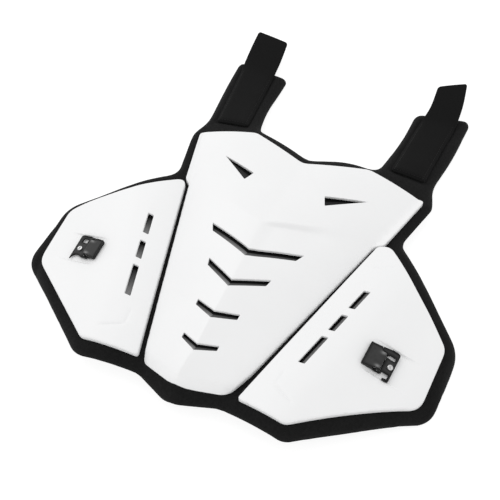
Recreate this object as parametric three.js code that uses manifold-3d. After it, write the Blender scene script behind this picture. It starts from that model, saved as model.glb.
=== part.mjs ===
// Motorcycle protective vest: the front chest guard, lying hollow side down.
// White hard plates sit on a black foam liner, with padded shoulder flaps, straps and lever buckles.
// Millimetres. x runs across the chest, y from the neck notch towards the shoulders, z up from the floor.
import * as THREE from 'three';
import { mergeVertices } from 'three/addons/utils/BufferGeometryUtils.js';
import Module from 'manifold-3d';

const wasm = await Module();
wasm.setup();

// Layers from the floor up
const GAP = 0.3;
const FOAM_THICK = 12;
const PLATE_DEPTH = 6;
const SHELL_THICK = 3;
const RIM_WIDTH = 4;
const STRAP_THICK = 2.5;
const STACK = FOAM_THICK + GAP + PLATE_DEPTH;

// The plates' outer face, a row for each section or fold across the body.
// y: place along the body, ridge: height on the middle line, seam: height along the wing seam,
// round: power of the fall from ridge to seam, 1 for a straight roof and 2 for a round one.
const SECTIONS = [
  { y: 290, ridge: STACK, seam: STACK, round: 1.4 },
  { y: 130, ridge: STACK, seam: STACK, round: 1.4 },
  { y: 92, ridge: STACK, seam: 19.6, round: 1.4 },
  { y: 45, ridge: 28, seam: 23.5, round: 1.4 },
  { y: 0, ridge: 43, seam: 28, round: 1.8 },
  { y: -70, ridge: 55.5, seam: 29.5, round: 2 },
  { y: -110, ridge: 62.5, seam: 31, round: 1.65 },
  { y: -235, ridge: 60.5, seam: 34, round: 1 },
  { y: -278, ridge: 55.5, seam: 34, round: 1 },
  { y: -306, ridge: 44, seam: 33.5, round: 1 },
  { y: -350, ridge: 32, seam: 31, round: 1 },
];
const FOLD_RISE = 0.37;

// The wings arch away from the seam. out: distance from the seam, rise: height over it.
const WING_ARCH = [
  { out: 0, rise: 0 },
  { out: 10, rise: 3.5 },
  { out: 33, rise: 7.5 },
  { out: 55, rise: 8.5 },
  { out: 77, rise: 5 },
  { out: 105, rise: -2.2 },
  { out: 131, rise: -7.2 },
  { out: 150, rise: -14 },
  { out: 155, rise: -17.5 },
  { out: 180, rise: -31 },
];

// Grid of the curved walls
const ROW_STEP = 18;
const CENTER_STEPS = 5;
const ROUND_STEPS = 3;
const PRISM_LOW = -20;
const PRISM_TALL = 140;

// Outlines seen from above. x, y: corner, cut: how far the rounding reaches along the edges.
// The center plate and the liner list their right half, from the neck to the waist.
const STEP_IN = { x: 111.4, y: -70, cut: 3 };
const WAIST_CORNER = { x: 47.5, y: -291, cut: 5 };
const CENTER_HALF = [
  { x: 0, y: 0, cut: 8 },
  { x: 71, y: 29, cut: 5 },
  { x: 140, y: 12, cut: 7 },
  { x: 121, y: -65, cut: 3 },
  STEP_IN,
  WAIST_CORNER,
  { x: 0, y: -305, cut: 14 },
];
const WING = [
  { x: 117, y: -65, cut: 11 },
  { x: 172, y: -111.5, cut: 40 },
  { x: 218, y: -156, cut: 7 },
  { x: 214.5, y: -225, cut: 12 },
  { x: 111, y: -298, cut: 5 },
  { x: 54, y: -291, cut: 4 },
];
const PAD_CUT = { x: 66, y: 4, side: 150 };
const LINER_HALF = [
  { x: 0, y: 12, cut: 14 },
  { x: PAD_CUT.x, y: 43, cut: 0 },
  { x: PAD_CUT.x, y: PAD_CUT.y, cut: 0 },
  { x: PAD_CUT.side - 2, y: PAD_CUT.y, cut: 0 },
  { x: 135.5, y: -52, cut: 12 },
  { x: 228, y: -147, cut: 18 },
  { x: 230.5, y: -227, cut: 18 },
  { x: 115, y: -310, cut: 10 },
  { x: 47, y: -303, cut: 10 },
  { x: 0, y: -320, cut: 22 },
];

// Slots in the center plate. apex, width: upper edge and width on the middle line,
// half, rise: reach and rise of the upper edge, foot, tip: reach of the lower edge and width at the end.
const CHEVRONS = [
  { apex: -146, width: 8, half: 52.5, rise: 21.5, foot: 47.5, tip: 9 },
  { apex: -187, width: 7, half: 35, rise: 19.4, foot: 32.6, tip: 7.4 },
  { apex: -226.4, width: 7, half: 23, rise: 9.8, foot: 22.7, tip: 5 },
  { apex: -264, width: 6, half: 19, rise: 9, foot: 18.9, tip: 4.4 },
];
const TRIANGLE = [
  { x: 42.5, y: -41.5, cut: 1 },
  { x: 86.5, y: -23, cut: 1 },
  { x: 47.8, y: -54.8, cut: 1 },
];
// Slots in the wings, in one line beside the seam
const WING_SLOT = { out: 28.5, width: 6.8 };
const WING_SLOTS = [
  { top: -132, bottom: -158 },
  { top: -168, bottom: -190 },
  { top: -199, bottom: -235 },
];

// The two shoulders lie a little differently: outer and inner corners of the pad's end,
// and of the strap at its sewn end, at the pad's end and at the tip of its tongue.
const SHOULDERS = [
  {
    name: 'left',
    side: -1,
    padEnd: { outX: 155, outY: 161, inX: 86, inY: 154 },
    sewn: { outX: 132, outY: 38.5, inX: 90.5, inY: 43 },
    bend: { outX: 146.5, outY: 152, inX: 102.5, inY: 146 },
    tip: { outX: 148.7, outY: 209, inX: 106.4, inY: 203 },
  },
  {
    name: 'right',
    side: 1,
    padEnd: { outX: 152.5, outY: 173.5, inX: 86.8, inY: 158 },
    sewn: { outX: 132, outY: 45, inX: 92.5, inY: 44 },
    bend: { outX: 138.5, outY: 160, inX: 97.5, inY: 146 },
    tip: { outX: 132.5, outY: 219, inX: 98.4, inY: 201 },
  },
];
const TONGUE_FROM = 150;
const TONGUE_SLOPE = 0.19;

// Lever buckle, in its own frame: u outward along the wing, v along the hinge, n off the wing.
// The two buckles are mirror images, turned about their rivets by a few degrees towards the waist.
const BUCKLE = { x: 165.2, y: -200, seat: 0.7, turns: { left: 2, right: 5 } };
const BASE = { inner: 1.2, outer: 15, neckSide: 16.3, waistSide: 15.4, floor: 1.5, wall: 1.6, wallTop: 3.8 };
const EAR = { thick: 1.6, outer: 12.2, inner: -4.2, reach: 3.5 };
const WINDOW = { from: 3, to: 11.3, near: 6.8, far: 10.2 };
const NOTCH = { from: 3.5, to: 11.5, gate: 6.8, near: 6.2, far: 12.6 };
const PIN = { u: -1.5, n: 3.4, radius: 1, over: 0.4 };
const LEVER = { free: -16, half: 12.2, neck: 10.2, root: -4.7, under: 4.8, thick: 1.6, barrel: 2.1, lip: 0.8, slope: 13 };
const RIVET = { u: 9.4, head: 3.2, dome: 1.6, shank: 1.6, tail: 3.4 };
const ROUND_SIDES = 16;

// Looks
const WHITE_PLASTIC = { color: 0xeceef0, roughness: 0.42, metalness: 0 };
const BLACK_KNIT = { color: 0x2a2a2c, roughness: 0.95, metalness: 0 };
const BLACK_STRAP = { color: 0x202022, roughness: 0.85, metalness: 0 };
const BLACK_BUCKLE = { color: 0x242426, roughness: 0.45, metalness: 0.1 };
const BRIGHT_STEEL = { color: 0xc8c8ca, roughness: 0.25, metalness: 1 };

// Straight-line reading of one column of a table, by its key column
function lookUp(rows, key, value, at) {
  const ordered = [...rows].sort((a, b) => a[key] - b[key]);
  const last = ordered.length - 1;
  let upper = ordered.findIndex((row) => row[key] >= at);
  if (upper < 0) upper = last;
  if (upper === 0) upper = 1;
  const low = ordered[upper - 1];
  const high = ordered[upper];
  const share = (at - low[key]) / (high[key] - low[key]);
  return low[value] + THREE.MathUtils.clamp(share, 0, 1) * (high[value] - low[value]);
}

// The wing seam is a straight line from the step to the waist corner
const SEAM_SLOPE = (STEP_IN.x - WAIST_CORNER.x) / (STEP_IN.y - WAIST_CORNER.y);
const SEAM_AT_NECK = STEP_IN.x - SEAM_SLOPE * STEP_IN.y;

function seamX(y) {
  return SEAM_AT_NECK + SEAM_SLOPE * y;
}

// Height of the plates' outer face over the floor
function faceHeight(x, y) {
  const across = Math.abs(x);
  const seam = lookUp(SECTIONS, 'y', 'seam', y);
  const out = across - seamX(y);
  if (out > 0) return seam + lookUp(WING_ARCH, 'out', 'rise', out);
  const ridge = lookUp(SECTIONS, 'y', 'ridge', y - FOLD_RISE * across);
  const fall = (across / seamX(y)) ** lookUp(SECTIONS, 'y', 'round', y);
  return ridge + (seam - ridge) * fall;
}

// The foam's underside follows the plates and flattens where it meets the floor
function foamBase(x, y) {
  return Math.max(0, faceHeight(x, y) - STACK);
}

function strapBase(x, y) {
  const lift = Math.max(0, y - TONGUE_FROM) * TONGUE_SLOPE;
  return foamBase(x, y) + FOAM_THICK + GAP + lift;
}

// Fold rows: every section, and even steps between them
function foldRows() {
  const rows = [];
  SECTIONS.slice(0, -1).forEach((section, index) => {
    const next = SECTIONS[index + 1];
    const steps = Math.ceil((section.y - next.y) / ROW_STEP);
    for (let step = 0; step < steps; step += 1) {
      rows.push(THREE.MathUtils.lerp(section.y, next.y, step / steps));
    }
  });
  rows.push(SECTIONS.at(-1).y);
  return rows;
}

// One row of the grid: V-shaped between the seams and straight across the wings
function rowPoints(fold) {
  const half = [];
  for (let step = 0; step <= CENTER_STEPS; step += 1) {
    const share = step / CENTER_STEPS;
    const y = (fold + FOLD_RISE * share * SEAM_AT_NECK) / (1 - FOLD_RISE * share * SEAM_SLOPE);
    half.push({ x: share * seamX(y), y });
  }
  const seam = half.at(-1);
  WING_ARCH.slice(1).forEach(({ out }) => half.push({ x: seam.x + out, y: seam.y }));
  const left = half.slice(1).reverse();
  return [...left.map(({ x, y }) => ({ x: -x, y })), ...half];
}

// A closed curved wall between two height functions, over the whole grid
function curvedWall(low, high) {
  const grid = foldRows().map(rowPoints);
  const columns = grid[0].length;
  const flat = grid.flat();
  const position = [];
  [low, high].forEach((height) => {
    flat.forEach(({ x, y }) => position.push(x, y, height(x, y)));
  });
  const index = [];
  const quad = (a, b, c, d) => index.push(a, b, c, a, c, d);
  const at = (row, column) => row * columns + column;
  const top = flat.length;
  for (let row = 0; row < grid.length - 1; row += 1) {
    for (let column = 0; column < columns - 1; column += 1) {
      const a = at(row, column);
      const b = at(row + 1, column);
      const c = at(row + 1, column + 1);
      const d = at(row, column + 1);
      quad(a, d, c, b);
      quad(top + a, top + b, top + c, top + d);
    }
  }
  const edge = [];
  for (let column = 0; column < columns - 1; column += 1) edge.push(at(0, column));
  for (let row = 0; row < grid.length - 1; row += 1) edge.push(at(row, columns - 1));
  for (let column = columns - 1; column > 0; column -= 1) edge.push(at(grid.length - 1, column));
  for (let row = grid.length - 1; row > 0; row -= 1) edge.push(at(row, 0));
  edge.forEach((a, step) => {
    const b = edge[(step + 1) % edge.length];
    quad(a, top + a, top + b, b);
  });
  const geometry = new THREE.BufferGeometry();
  geometry.setAttribute('position', new THREE.Float32BufferAttribute(position, 3));
  geometry.setIndex(index);
  return geometry;
}

// Corners in counterclockwise order
function counterclockwise(corners) {
  const points = corners.map(({ x, y }) => new THREE.Vector2(x, y));
  return THREE.ShapeUtils.isClockWise(points) ? [...corners].reverse() : corners;
}

// Straight edges joined by a short curve at each corner
function roundedOutline(ring, Outline) {
  const outline = new Outline();
  const corners = counterclockwise(ring);
  corners.forEach((corner, index) => {
    const before = corners.at(index - 1);
    const after = corners[(index + 1) % corners.length];
    const here = new THREE.Vector2(corner.x, corner.y);
    const towards = (other) => {
      const way = new THREE.Vector2(other.x, other.y).sub(here);
      return here.clone().add(way.setLength(Math.min(corner.cut, way.length() / 2.1)));
    };
    const start = towards(before);
    const end = towards(after);
    if (index === 0) outline.moveTo(start.x, start.y);
    else outline.lineTo(start.x, start.y);
    if (corner.cut > 0) outline.quadraticCurveTo(here.x, here.y, end.x, end.y);
  });
  outline.closePath();
  return outline;
}

function mirrored(corners) {
  return corners.map((corner) => ({ ...corner, x: -corner.x }));
}

// A half outline whose first and last corners lie on the middle line, with its mirror image
function wholeOutline(half) {
  return [...half, ...mirrored(half.slice(1, -1)).reverse()];
}

// The same outline with every edge moved inward
function inset(corners, distance) {
  const points = corners.map(({ x, y }) => new THREE.Vector2(x, y));
  const turn = Math.sign(THREE.ShapeUtils.area(points));
  return corners.map((corner, index) => {
    const here = points[index];
    const incoming = here.clone().sub(points.at(index - 1)).normalize();
    const outgoing = points[(index + 1) % points.length].clone().sub(here).normalize();
    const inward = (way) => new THREE.Vector2(-way.y, way.x).multiplyScalar(turn);
    const middle = inward(incoming).add(inward(outgoing)).normalize();
    const reach = distance / middle.dot(inward(incoming));
    return { ...corner, x: here.x + middle.x * reach, y: here.y + middle.y * reach };
  });
}

// An upright prism over an outline, with upright holes
function prism(corners, holes = []) {
  const shape = roundedOutline(corners, THREE.Shape);
  shape.holes = holes.map((hole) => roundedOutline(hole, THREE.Path));
  const geometry = new THREE.ExtrudeGeometry(shape, {
    depth: PRISM_TALL,
    bevelEnabled: false,
    curveSegments: ROUND_STEPS,
  });
  return geometry.translate(0, 0, PRISM_LOW);
}

// Solids to cut and join, and back to a geometry
function toSolid(geometry) {
  const bare = geometry.clone();
  bare.deleteAttribute('normal');
  bare.deleteAttribute('uv');
  const merged = mergeVertices(bare, 1e-4);
  return new wasm.Manifold(new wasm.Mesh({
    numProp: 3,
    vertProperties: new Float32Array(merged.attributes.position.array),
    triVerts: new Uint32Array(merged.index.array),
  }));
}

function toGeometry(solid) {
  const { vertProperties, triVerts } = solid.getMesh();
  const geometry = new THREE.BufferGeometry();
  geometry.setAttribute('position', new THREE.BufferAttribute(vertProperties, 3));
  geometry.setIndex(new THREE.BufferAttribute(triVerts, 1));
  geometry.computeVertexNormals();
  return geometry;
}

function cutFromWall(low, high, corners, holes) {
  return toSolid(curvedWall(low, high)).intersect(toSolid(prism(corners, holes)));
}

function piece(name, solid, look) {
  const mesh = new THREE.Mesh(toGeometry(solid), new THREE.MeshStandardMaterial(look));
  mesh.name = name;
  return mesh;
}

// A hard plate: a thin shell with a turned-down rim, pierced by its slots
function plateSolid(corners, slots) {
  const rimLow = (x, y) => faceHeight(x, y) - PLATE_DEPTH;
  const belowRim = (x, y) => rimLow(x, y) - PLATE_DEPTH;
  const shellLow = (x, y) => faceHeight(x, y) - SHELL_THICK;
  const whole = cutFromWall(rimLow, faceHeight, corners, slots);
  return whole.subtract(cutFromWall(belowRim, shellLow, inset(corners, RIM_WIDTH)));
}

function chevronCorners({ apex, width, half, rise, foot, tip }) {
  const cut = 0.8;
  return wholeOutline([
    { x: 0, y: apex, cut: 0 },
    { x: half, y: apex + rise, cut },
    { x: foot, y: apex + rise - tip, cut },
    { x: 0, y: apex - width, cut: 0 },
  ]);
}

function wingSlotCorners({ top, bottom }) {
  const corner = (y, out) => ({ x: seamX(y) + out, y, cut: 1 });
  const near = WING_SLOT.out;
  const far = near + WING_SLOT.width;
  return [corner(top, near), corner(top, far), corner(bottom, far), corner(bottom, near)];
}

function sided(corners, side) {
  return side > 0 ? corners : mirrored(corners);
}

function centerPlate() {
  const slots = [...CHEVRONS.map(chevronCorners), TRIANGLE, mirrored(TRIANGLE)];
  return piece('center_plate', plateSolid(wholeOutline(CENTER_HALF), slots), WHITE_PLASTIC);
}

function wingPlate({ name, side }, rivetHole) {
  const slots = WING_SLOTS.map((slot) => sided(wingSlotCorners(slot), side));
  const solid = plateSolid(sided(WING, side), slots).subtract(rivetHole);
  return piece(`wing_plate_${name}`, solid, WHITE_PLASTIC);
}

function foamTop(x, y) {
  return foamBase(x, y) + FOAM_THICK;
}

function foamLiner() {
  return piece('foam_liner', cutFromWall(foamBase, foamTop, wholeOutline(LINER_HALF)), BLACK_KNIT);
}

function shoulderPad({ name, side, padEnd }) {
  const inner = PAD_CUT.x + GAP;
  const lower = PAD_CUT.y + GAP;
  const corners = [
    { x: inner, y: 43, cut: 0 },
    { x: inner, y: lower, cut: 0 },
    { x: PAD_CUT.side - 1.5, y: lower, cut: 0 },
    { x: PAD_CUT.side, y: 15, cut: 8 },
    { x: 142.5, y: 46, cut: 14 },
    { x: padEnd.outX, y: padEnd.outY, cut: 9 },
    { x: padEnd.inX, y: padEnd.inY, cut: 9 },
    { x: 84, y: 95, cut: 20 },
    { x: 76, y: 49, cut: 8 },
  ];
  const solid = cutFromWall(foamBase, foamTop, sided(corners, side));
  return piece(`shoulder_pad_${name}`, solid, BLACK_KNIT);
}

function shoulderStrap({ name, side, sewn, bend, tip }) {
  const corners = [
    { x: sewn.inX, y: sewn.inY, cut: 2 },
    { x: sewn.outX, y: sewn.outY, cut: 2 },
    { x: bend.outX, y: bend.outY, cut: 12 },
    { x: tip.outX, y: tip.outY, cut: 3 },
    { x: tip.inX, y: tip.inY, cut: 3 },
    { x: bend.inX, y: bend.inY, cut: 12 },
  ];
  const top = (x, y) => strapBase(x, y) + STRAP_THICK;
  const solid = cutFromWall(strapBase, top, sided(corners, side));
  return piece(`shoulder_strap_${name}`, solid, BLACK_STRAP);
}

// A flat profile in u and n, carried along v from one side to the other
function acrossBuckle(shape, from, to) {
  const geometry = new THREE.ExtrudeGeometry(shape, {
    depth: to - from,
    bevelEnabled: false,
    curveSegments: ROUND_SIDES / 4,
  });
  return geometry.rotateX(Math.PI / 2).translate(0, to, 0);
}

function circle(Outline, u, n, radius) {
  const outline = new Outline();
  outline.absarc(u, n, radius, 0, 2 * Math.PI, false);
  return outline;
}

function roundBar(radius, height) {
  return new THREE.CylinderGeometry(radius, radius, height, ROUND_SIDES).rotateX(Math.PI / 2);
}

// Bracket: a floor with one closed and one open window and two arms, a side wall, and an ear for the pin on each arm
function buckleBase({ name, side }) {
  const { inner, outer, neckSide, waistSide, floor, wall, wallTop } = BASE;
  const corner = (x, y, cut = 0) => ({ x, y: side * y, cut });
  const arm = EAR.outer - EAR.thick;
  const plan = roundedOutline([
    corner(EAR.inner, -EAR.outer),
    corner(NOTCH.from, -EAR.outer),
    corner(NOTCH.from, -NOTCH.near, 0.6),
    corner(NOTCH.to, -NOTCH.near, 0.6),
    corner(NOTCH.to, -NOTCH.far, 0.6),
    corner(NOTCH.gate, -NOTCH.far),
    corner(NOTCH.gate, -waistSide),
    corner(outer, -waistSide, 2),
    corner(outer, neckSide, 2),
    corner(EAR.inner, neckSide),
    corner(EAR.inner, arm),
    corner(inner, arm),
    corner(inner, -arm),
    corner(EAR.inner, -arm),
  ], THREE.Shape);
  plan.holes.push(roundedOutline([
    corner(WINDOW.from, WINDOW.near, 0.6),
    corner(WINDOW.to, WINDOW.near, 0.6),
    corner(WINDOW.to, WINDOW.far, 0.6),
    corner(WINDOW.from, WINDOW.far, 0.6),
  ], THREE.Path));
  plan.holes.push(circle(THREE.Path, RIVET.u, 0, RIVET.shank + GAP));
  const plate = new THREE.ExtrudeGeometry(plan, { depth: floor, bevelEnabled: false, curveSegments: 4 });
  let solid = toSolid(plate.translate(0, 0, BUCKLE.seat));
  const fence = new THREE.Shape();
  fence.moveTo(EAR.inner, BUCKLE.seat);
  fence.lineTo(outer - 2, BUCKLE.seat);
  fence.lineTo(outer - 2, wallTop);
  fence.lineTo(EAR.inner, wallTop);
  fence.closePath();
  const fenceFrom = side > 0 ? neckSide - wall : -neckSide;
  solid = solid.add(toSolid(acrossBuckle(fence, fenceFrom, fenceFrom + wall)));
  const crown = PIN.radius + GAP + 1.1;
  const cheek = new THREE.Shape();
  cheek.moveTo(EAR.inner, BUCKLE.seat);
  cheek.lineTo(EAR.reach, BUCKLE.seat);
  cheek.lineTo(EAR.reach, BUCKLE.seat + floor);
  cheek.lineTo(PIN.u + crown, PIN.n);
  cheek.absarc(PIN.u, PIN.n, crown, 0, Math.PI, false);
  cheek.closePath();
  cheek.holes.push(circle(THREE.Path, PIN.u, PIN.n, PIN.radius + GAP));
  [-EAR.outer, arm].forEach((from) => {
    solid = solid.add(toSolid(acrossBuckle(cheek, from, from + EAR.thick)));
  });
  return piece(`buckle_base_${name}`, solid, BLACK_BUCKLE);
}

// Lever: a wide blade, a narrower neck between the ears, and a barrel round the pin
function buckleLever({ name }) {
  const { free, half, neck, root, under, thick, barrel, lip, slope } = LEVER;
  const top = under + thick;
  const hinge = new THREE.Vector2(PIN.u, PIN.n);
  const closed = THREE.MathUtils.degToRad(slope);
  const lowered = (rows) => new THREE.Shape(
    rows.map(([u, n]) => new THREE.Vector2(u, n).rotateAround(hinge, closed)),
  );
  const blade = lowered([
    [root, under],
    [root, top],
    [free + 3, top],
    [free, top + lip],
    [free, under + lip],
    [free + 3, under],
  ]);
  const bridge = lowered([[PIN.u, under], [PIN.u, top], [root - 1, top], [root - 1, under]]);
  const ring = circle(THREE.Shape, PIN.u, PIN.n, barrel);
  ring.holes.push(circle(THREE.Path, PIN.u, PIN.n, PIN.radius + GAP));
  const solid = toSolid(acrossBuckle(blade, -half, half))
    .add(toSolid(acrossBuckle(bridge, -neck, neck)))
    .add(toSolid(acrossBuckle(ring, -neck, neck)));
  return piece(`buckle_lever_${name}`, solid, BLACK_BUCKLE);
}

function bucklePin({ name }) {
  const length = 2 * (EAR.outer + PIN.over);
  const bar = new THREE.CylinderGeometry(PIN.radius, PIN.radius, length, ROUND_SIDES);
  return piece(`buckle_pin_${name}`, toSolid(bar.translate(PIN.u, 0, PIN.n)), BRIGHT_STEEL);
}

function buckleRivet({ name }) {
  const { u, head, dome, shank, tail } = RIVET;
  const under = BUCKLE.seat + BASE.floor + GAP;
  const profile = [
    new THREE.Vector2(0, -tail),
    new THREE.Vector2(shank, -tail),
    new THREE.Vector2(shank, under),
    new THREE.Vector2(head, under),
    new THREE.Vector2(head * 0.9, under + dome * 0.6),
    new THREE.Vector2(head * 0.5, under + dome),
    new THREE.Vector2(0, under + dome),
  ];
  const body = new THREE.LatheGeometry(profile, ROUND_SIDES).rotateX(Math.PI / 2);
  return piece(`buckle_rivet_${name}`, toSolid(body.translate(u, 0, 0)), BRIGHT_STEEL);
}

// The wing's slopes and outward direction where a buckle stands: u across, v along, n off the face
function faceBasis(x, y) {
  const step = 10;
  const slopeX = (faceHeight(x + step, y) - faceHeight(x - step, y)) / (2 * step);
  const slopeY = (faceHeight(x, y + step) - faceHeight(x, y - step)) / (2 * step);
  const n = new THREE.Vector3(-slopeX, -slopeY, 1).normalize();
  const v = new THREE.Vector3(0, 1, slopeY).normalize();
  const u = new THREE.Vector3().crossVectors(v, n);
  return new THREE.Matrix4().makeBasis(u, v, n);
}

// A buckle stands on the wing, its outer end turned a little towards the waist.
// The left one stands half a turn round and has its bracket mirrored.
function buckle(shoulder) {
  const { name, side } = shoulder;
  const x = side * BUCKLE.x;
  const seat = new THREE.Group();
  seat.position.set(x, BUCKLE.y, faceHeight(x, BUCKLE.y));
  seat.quaternion.setFromRotationMatrix(faceBasis(x, BUCKLE.y));
  const facing = new THREE.Group();
  const turn = THREE.MathUtils.degToRad(BUCKLE.turns[name]);
  facing.rotation.z = side > 0 ? -turn : Math.PI + turn;
  facing.add(...[buckleBase, buckleLever, bucklePin, buckleRivet].map((make) => make(shoulder)));
  seat.add(facing);
  seat.updateMatrixWorld(true);
  const drill = roundBar(RIVET.shank + GAP, 4 * PLATE_DEPTH).translate(RIVET.u, 0, 0);
  const rivetHole = toSolid(drill.applyMatrix4(facing.matrixWorld));
  return { seat, rivetHole };
}

const vest = new THREE.Group();
vest.add(foamLiner(), centerPlate());
SHOULDERS.forEach((shoulder) => {
  const { seat, rivetHole } = buckle(shoulder);
  vest.add(wingPlate(shoulder, rivetHole), seat, shoulderPad(shoulder), shoulderStrap(shoulder));
});

// The origin is on the floor, under the middle of the whole guard
const reach = new THREE.Box3().setFromObject(vest);
const middle = reach.getCenter(new THREE.Vector3());
vest.position.set(-middle.x, -middle.y, -reach.min.z);
vest.updateMatrixWorld(true);

export default vest;
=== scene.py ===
"""The looks of a motorcycle chest guard: white moulded plates on a black padded liner, with shoulder
straps and lever buckles.

Lengths in the tables are millimetres: x across the chest, y from the neck notch, z above the floor."""
import math

import bpy
import numpy as np
from mathutils import Matrix, Vector
from mathutils.geometry import delaunay_2d_cdt


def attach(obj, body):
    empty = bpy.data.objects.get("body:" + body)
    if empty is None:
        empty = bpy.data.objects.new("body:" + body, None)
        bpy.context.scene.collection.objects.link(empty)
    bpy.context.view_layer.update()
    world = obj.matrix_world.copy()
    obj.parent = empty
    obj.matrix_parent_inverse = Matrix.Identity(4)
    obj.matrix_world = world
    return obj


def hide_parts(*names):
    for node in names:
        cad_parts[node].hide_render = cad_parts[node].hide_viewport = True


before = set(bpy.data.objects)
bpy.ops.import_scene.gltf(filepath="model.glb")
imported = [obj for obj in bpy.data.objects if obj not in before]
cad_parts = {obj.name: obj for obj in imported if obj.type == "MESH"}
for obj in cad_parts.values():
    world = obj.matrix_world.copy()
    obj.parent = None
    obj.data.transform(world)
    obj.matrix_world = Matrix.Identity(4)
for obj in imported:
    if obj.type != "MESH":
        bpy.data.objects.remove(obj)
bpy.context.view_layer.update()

MM = 0.001
NECK_Y = 48.898
GUARD = "guard"

# Thickness and distance of the layers
GAP = 0.3
FOAM_THICK = 12.0
PLATE_DEPTH = 6.0
SHELL_THICK = 3.0
RIM_WIDTH = 4.0
STRAP_THICK = 2.5
STACK = FOAM_THICK + GAP + PLATE_DEPTH

# The plates' outer face: y, height on the middle line, height along the wing seam, power of the fall
# between
SECTIONS = np.array([
    (-350, 32, 31, 1), (-306, 44, 33.5, 1), (-291, 52, 33.8, 1), (-278, 55.5, 34, 1), (-235, 60.5, 34, 1),
    (-110, 62.5, 31, 1.75), (-70, 55.5, 29.5, 2), (0, 43, 28, 1.8), (45, 28, 23.5, 1.4),
    (92, STACK, 19.6, 1.4), (130, STACK, STACK, 1.4), (290, STACK, STACK, 1.4)], float)
# How far the folds across the middle are softened: fold line, reach
FOLD_BLUR = np.array([
    (-300, 2), (-280, 3), (-262, 12), (-130, 12), (-112, 2.5), (-100, 4), (-60, 16)], float)
# Rise of the fold lines to the side, the shares of the way to the seam between which the folds fade out,
# and the fold line above which they also spread there
FOLD_RISE = 0.37
FOLD_FADE = (0.35, 0.95)
SPREAD_ABOVE = -200.0
# Blur of the heights along the seam, of the wings' arch and of the fall's power
SEAM_BLUR = 14.0
ARCH_BLUR = 7.0
POWER_BLUR = 10.0
# The V-shaped crease: its fold line, its half width on the middle line and how much that grows to the
# side, and the step on its right arm, with height, length of its fade below the crease and the x between
# which it sets in
CREASE = {"fold": -110.0, "half": 2.6, "wider": 14.0, "step": 4.6, "fade": 70.0, "across": (-4.0, 14.0)}
# The roof-like fall below the crease: where and over which length it sets in, the round of its ridge and
# the power of the fall before that
ROOF = {"from": 25.0, "over": 100.0, "round": 1.2, "power": 1.9}
# Height of the wings over the seam: distance from the seam, rise
WING_ARCH = np.array([
    (0, 0), (10, 3.5), (33, 7.5), (55, 8.5), (77, 5), (105, -2.2), (131, -7.2),
    (150, -14), (155, -17.5), (180, -31)], float)

# Outlines seen from above: x, y, how far the rounding of the corner reaches
STEP_IN = (111.4, -70, 3)
WAIST_CORNER = (47.5, -291, 5)
NECK_NOTCH = (0, 0, 8)
WAIST_TIP = (-3.5, -305.5, 14)
# The two sides are not quite alike, and on the right the lower edge leaves the seam before the waist
# corner
CENTER_SIDES = {
    "left": [(71, 29, 5), (137.6, 11.3, 7), (118.2, -65.3, 3), STEP_IN, WAIST_CORNER],
    "right": [(71, 26.5, 5), (141.6, 13, 5), (121, -65, 3), STEP_IN, (56, -262, 16), (43.5, -290, 9)]}
# The ridge leans left below the last slot
RIDGE_LEAN = {"most": -3.5, "along": (262, 300), "across": (15, 48)}
WINGS = {
    "left": [
        (117, -65, 11), (172, -111.8, 20), (203, -135.4, 14), (219.3, -155.5, 7), (215.3, -224.4, 12),
        (115, -295.5, 5), (54, -289.2, 4)],
    "right": [
        (115, -68, 4), (128.5, -65.7, 8), (172.2, -111, 22), (194, -130.8, 14), (217, -156.3, 7),
        (213.2, -224, 12), (160.3, -256.1, 45), (105.3, -298, 5), (54, -291, 4)]}
# Short creases on the wings, as they lie on the right one: two ends, depth, half width and the wings with
# it
WING_CREASES = [
    ((119.3, -99.6), (142.5, -90.8), 0.6, 1.1, ("right",)),
    ((84, -248), (81.5, -265), 0.6, 1.3, ("left", "right")),
    ((82, -266), (104, -278), 0.8, 1.3, ("left", "right"))]
LINER_NECK = (0, 20, 10)
LINER_WAIST = (-6, -319.8, 12)
# The liner's pads and border, and the strap's inner and outer edge on each side
SHOULDERS = {
    "left": {
        "side": -1,
        "pad": [
            (36, 34.3, 20), (70, 45, 9), (77, 51, 11), (85, 90, 22), (85.7, 157.5, 8), (157.8, 165, 12),
            (152.6, 104.5, 30), (144, 44, 20), (148.6, 15.5, 13)],
        "border": [
            (147.8, 4.7, 14), (134, -56.4, 14), (187, -106.2, 24), (233.2, -146.4, 14), (234.8, -224.6, 16),
            (116, -310, 12), (48, -301.2, 6)],
        "inner": [(90, 42.5), (96.6, 95), (101, 140), (102.6, 172), (106, 205)],
        "outer": [(131, 40), (138.8, 95), (146.5, 150), (149.3, 182), (150.6, 210.5)]},
    "right": {
        "side": 1,
        "pad": [
            (38, 39, 18), (71, 39.8, 8), (78, 46.8, 9), (85.5, 112, 26), (87, 162.8, 10),
            (153.7, 176.6, 12), (151.2, 110.5, 30), (142.8, 49, 13), (152.2, 15, 12)],
        "border": [
            (150.2, 4.5, 14), (135.8, -50, 11), (229.3, -146.5, 14), (230.2, -179, 30), (226.4, -226.4, 13),
            (109.3, -310.7, 8), (40.5, -301.6, 6)],
        "inner": [(91.5, 45), (94.2, 100), (97, 140), (101.3, 168), (100.5, 202.5)],
        "outer": [(132.2, 46.5), (136, 110), (139.5, 160), (138.5, 183), (133.3, 218.5)]}}

# V-shaped slots: upper edge and width on the middle line, reach and rise of the upper edge, reach of the
# lower edge, width at the ends
CHEVRONS = [
    (-146, 9.4, 52.5, 21.5, 47.5, 10), (-187, 8.4, 35, 19.4, 32.6, 8.6),
    (-226.4, 8.2, 23, 9.8, 22.7, 6.2), (-264, 7.2, 19, 9, 18.9, 5.4)]
CHEVRON_CORNER = 0.8
TRIANGLE = [(42.5, -41.5, 1), (86.5, -23, 1), (47.8, -54.8, 1)]
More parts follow.
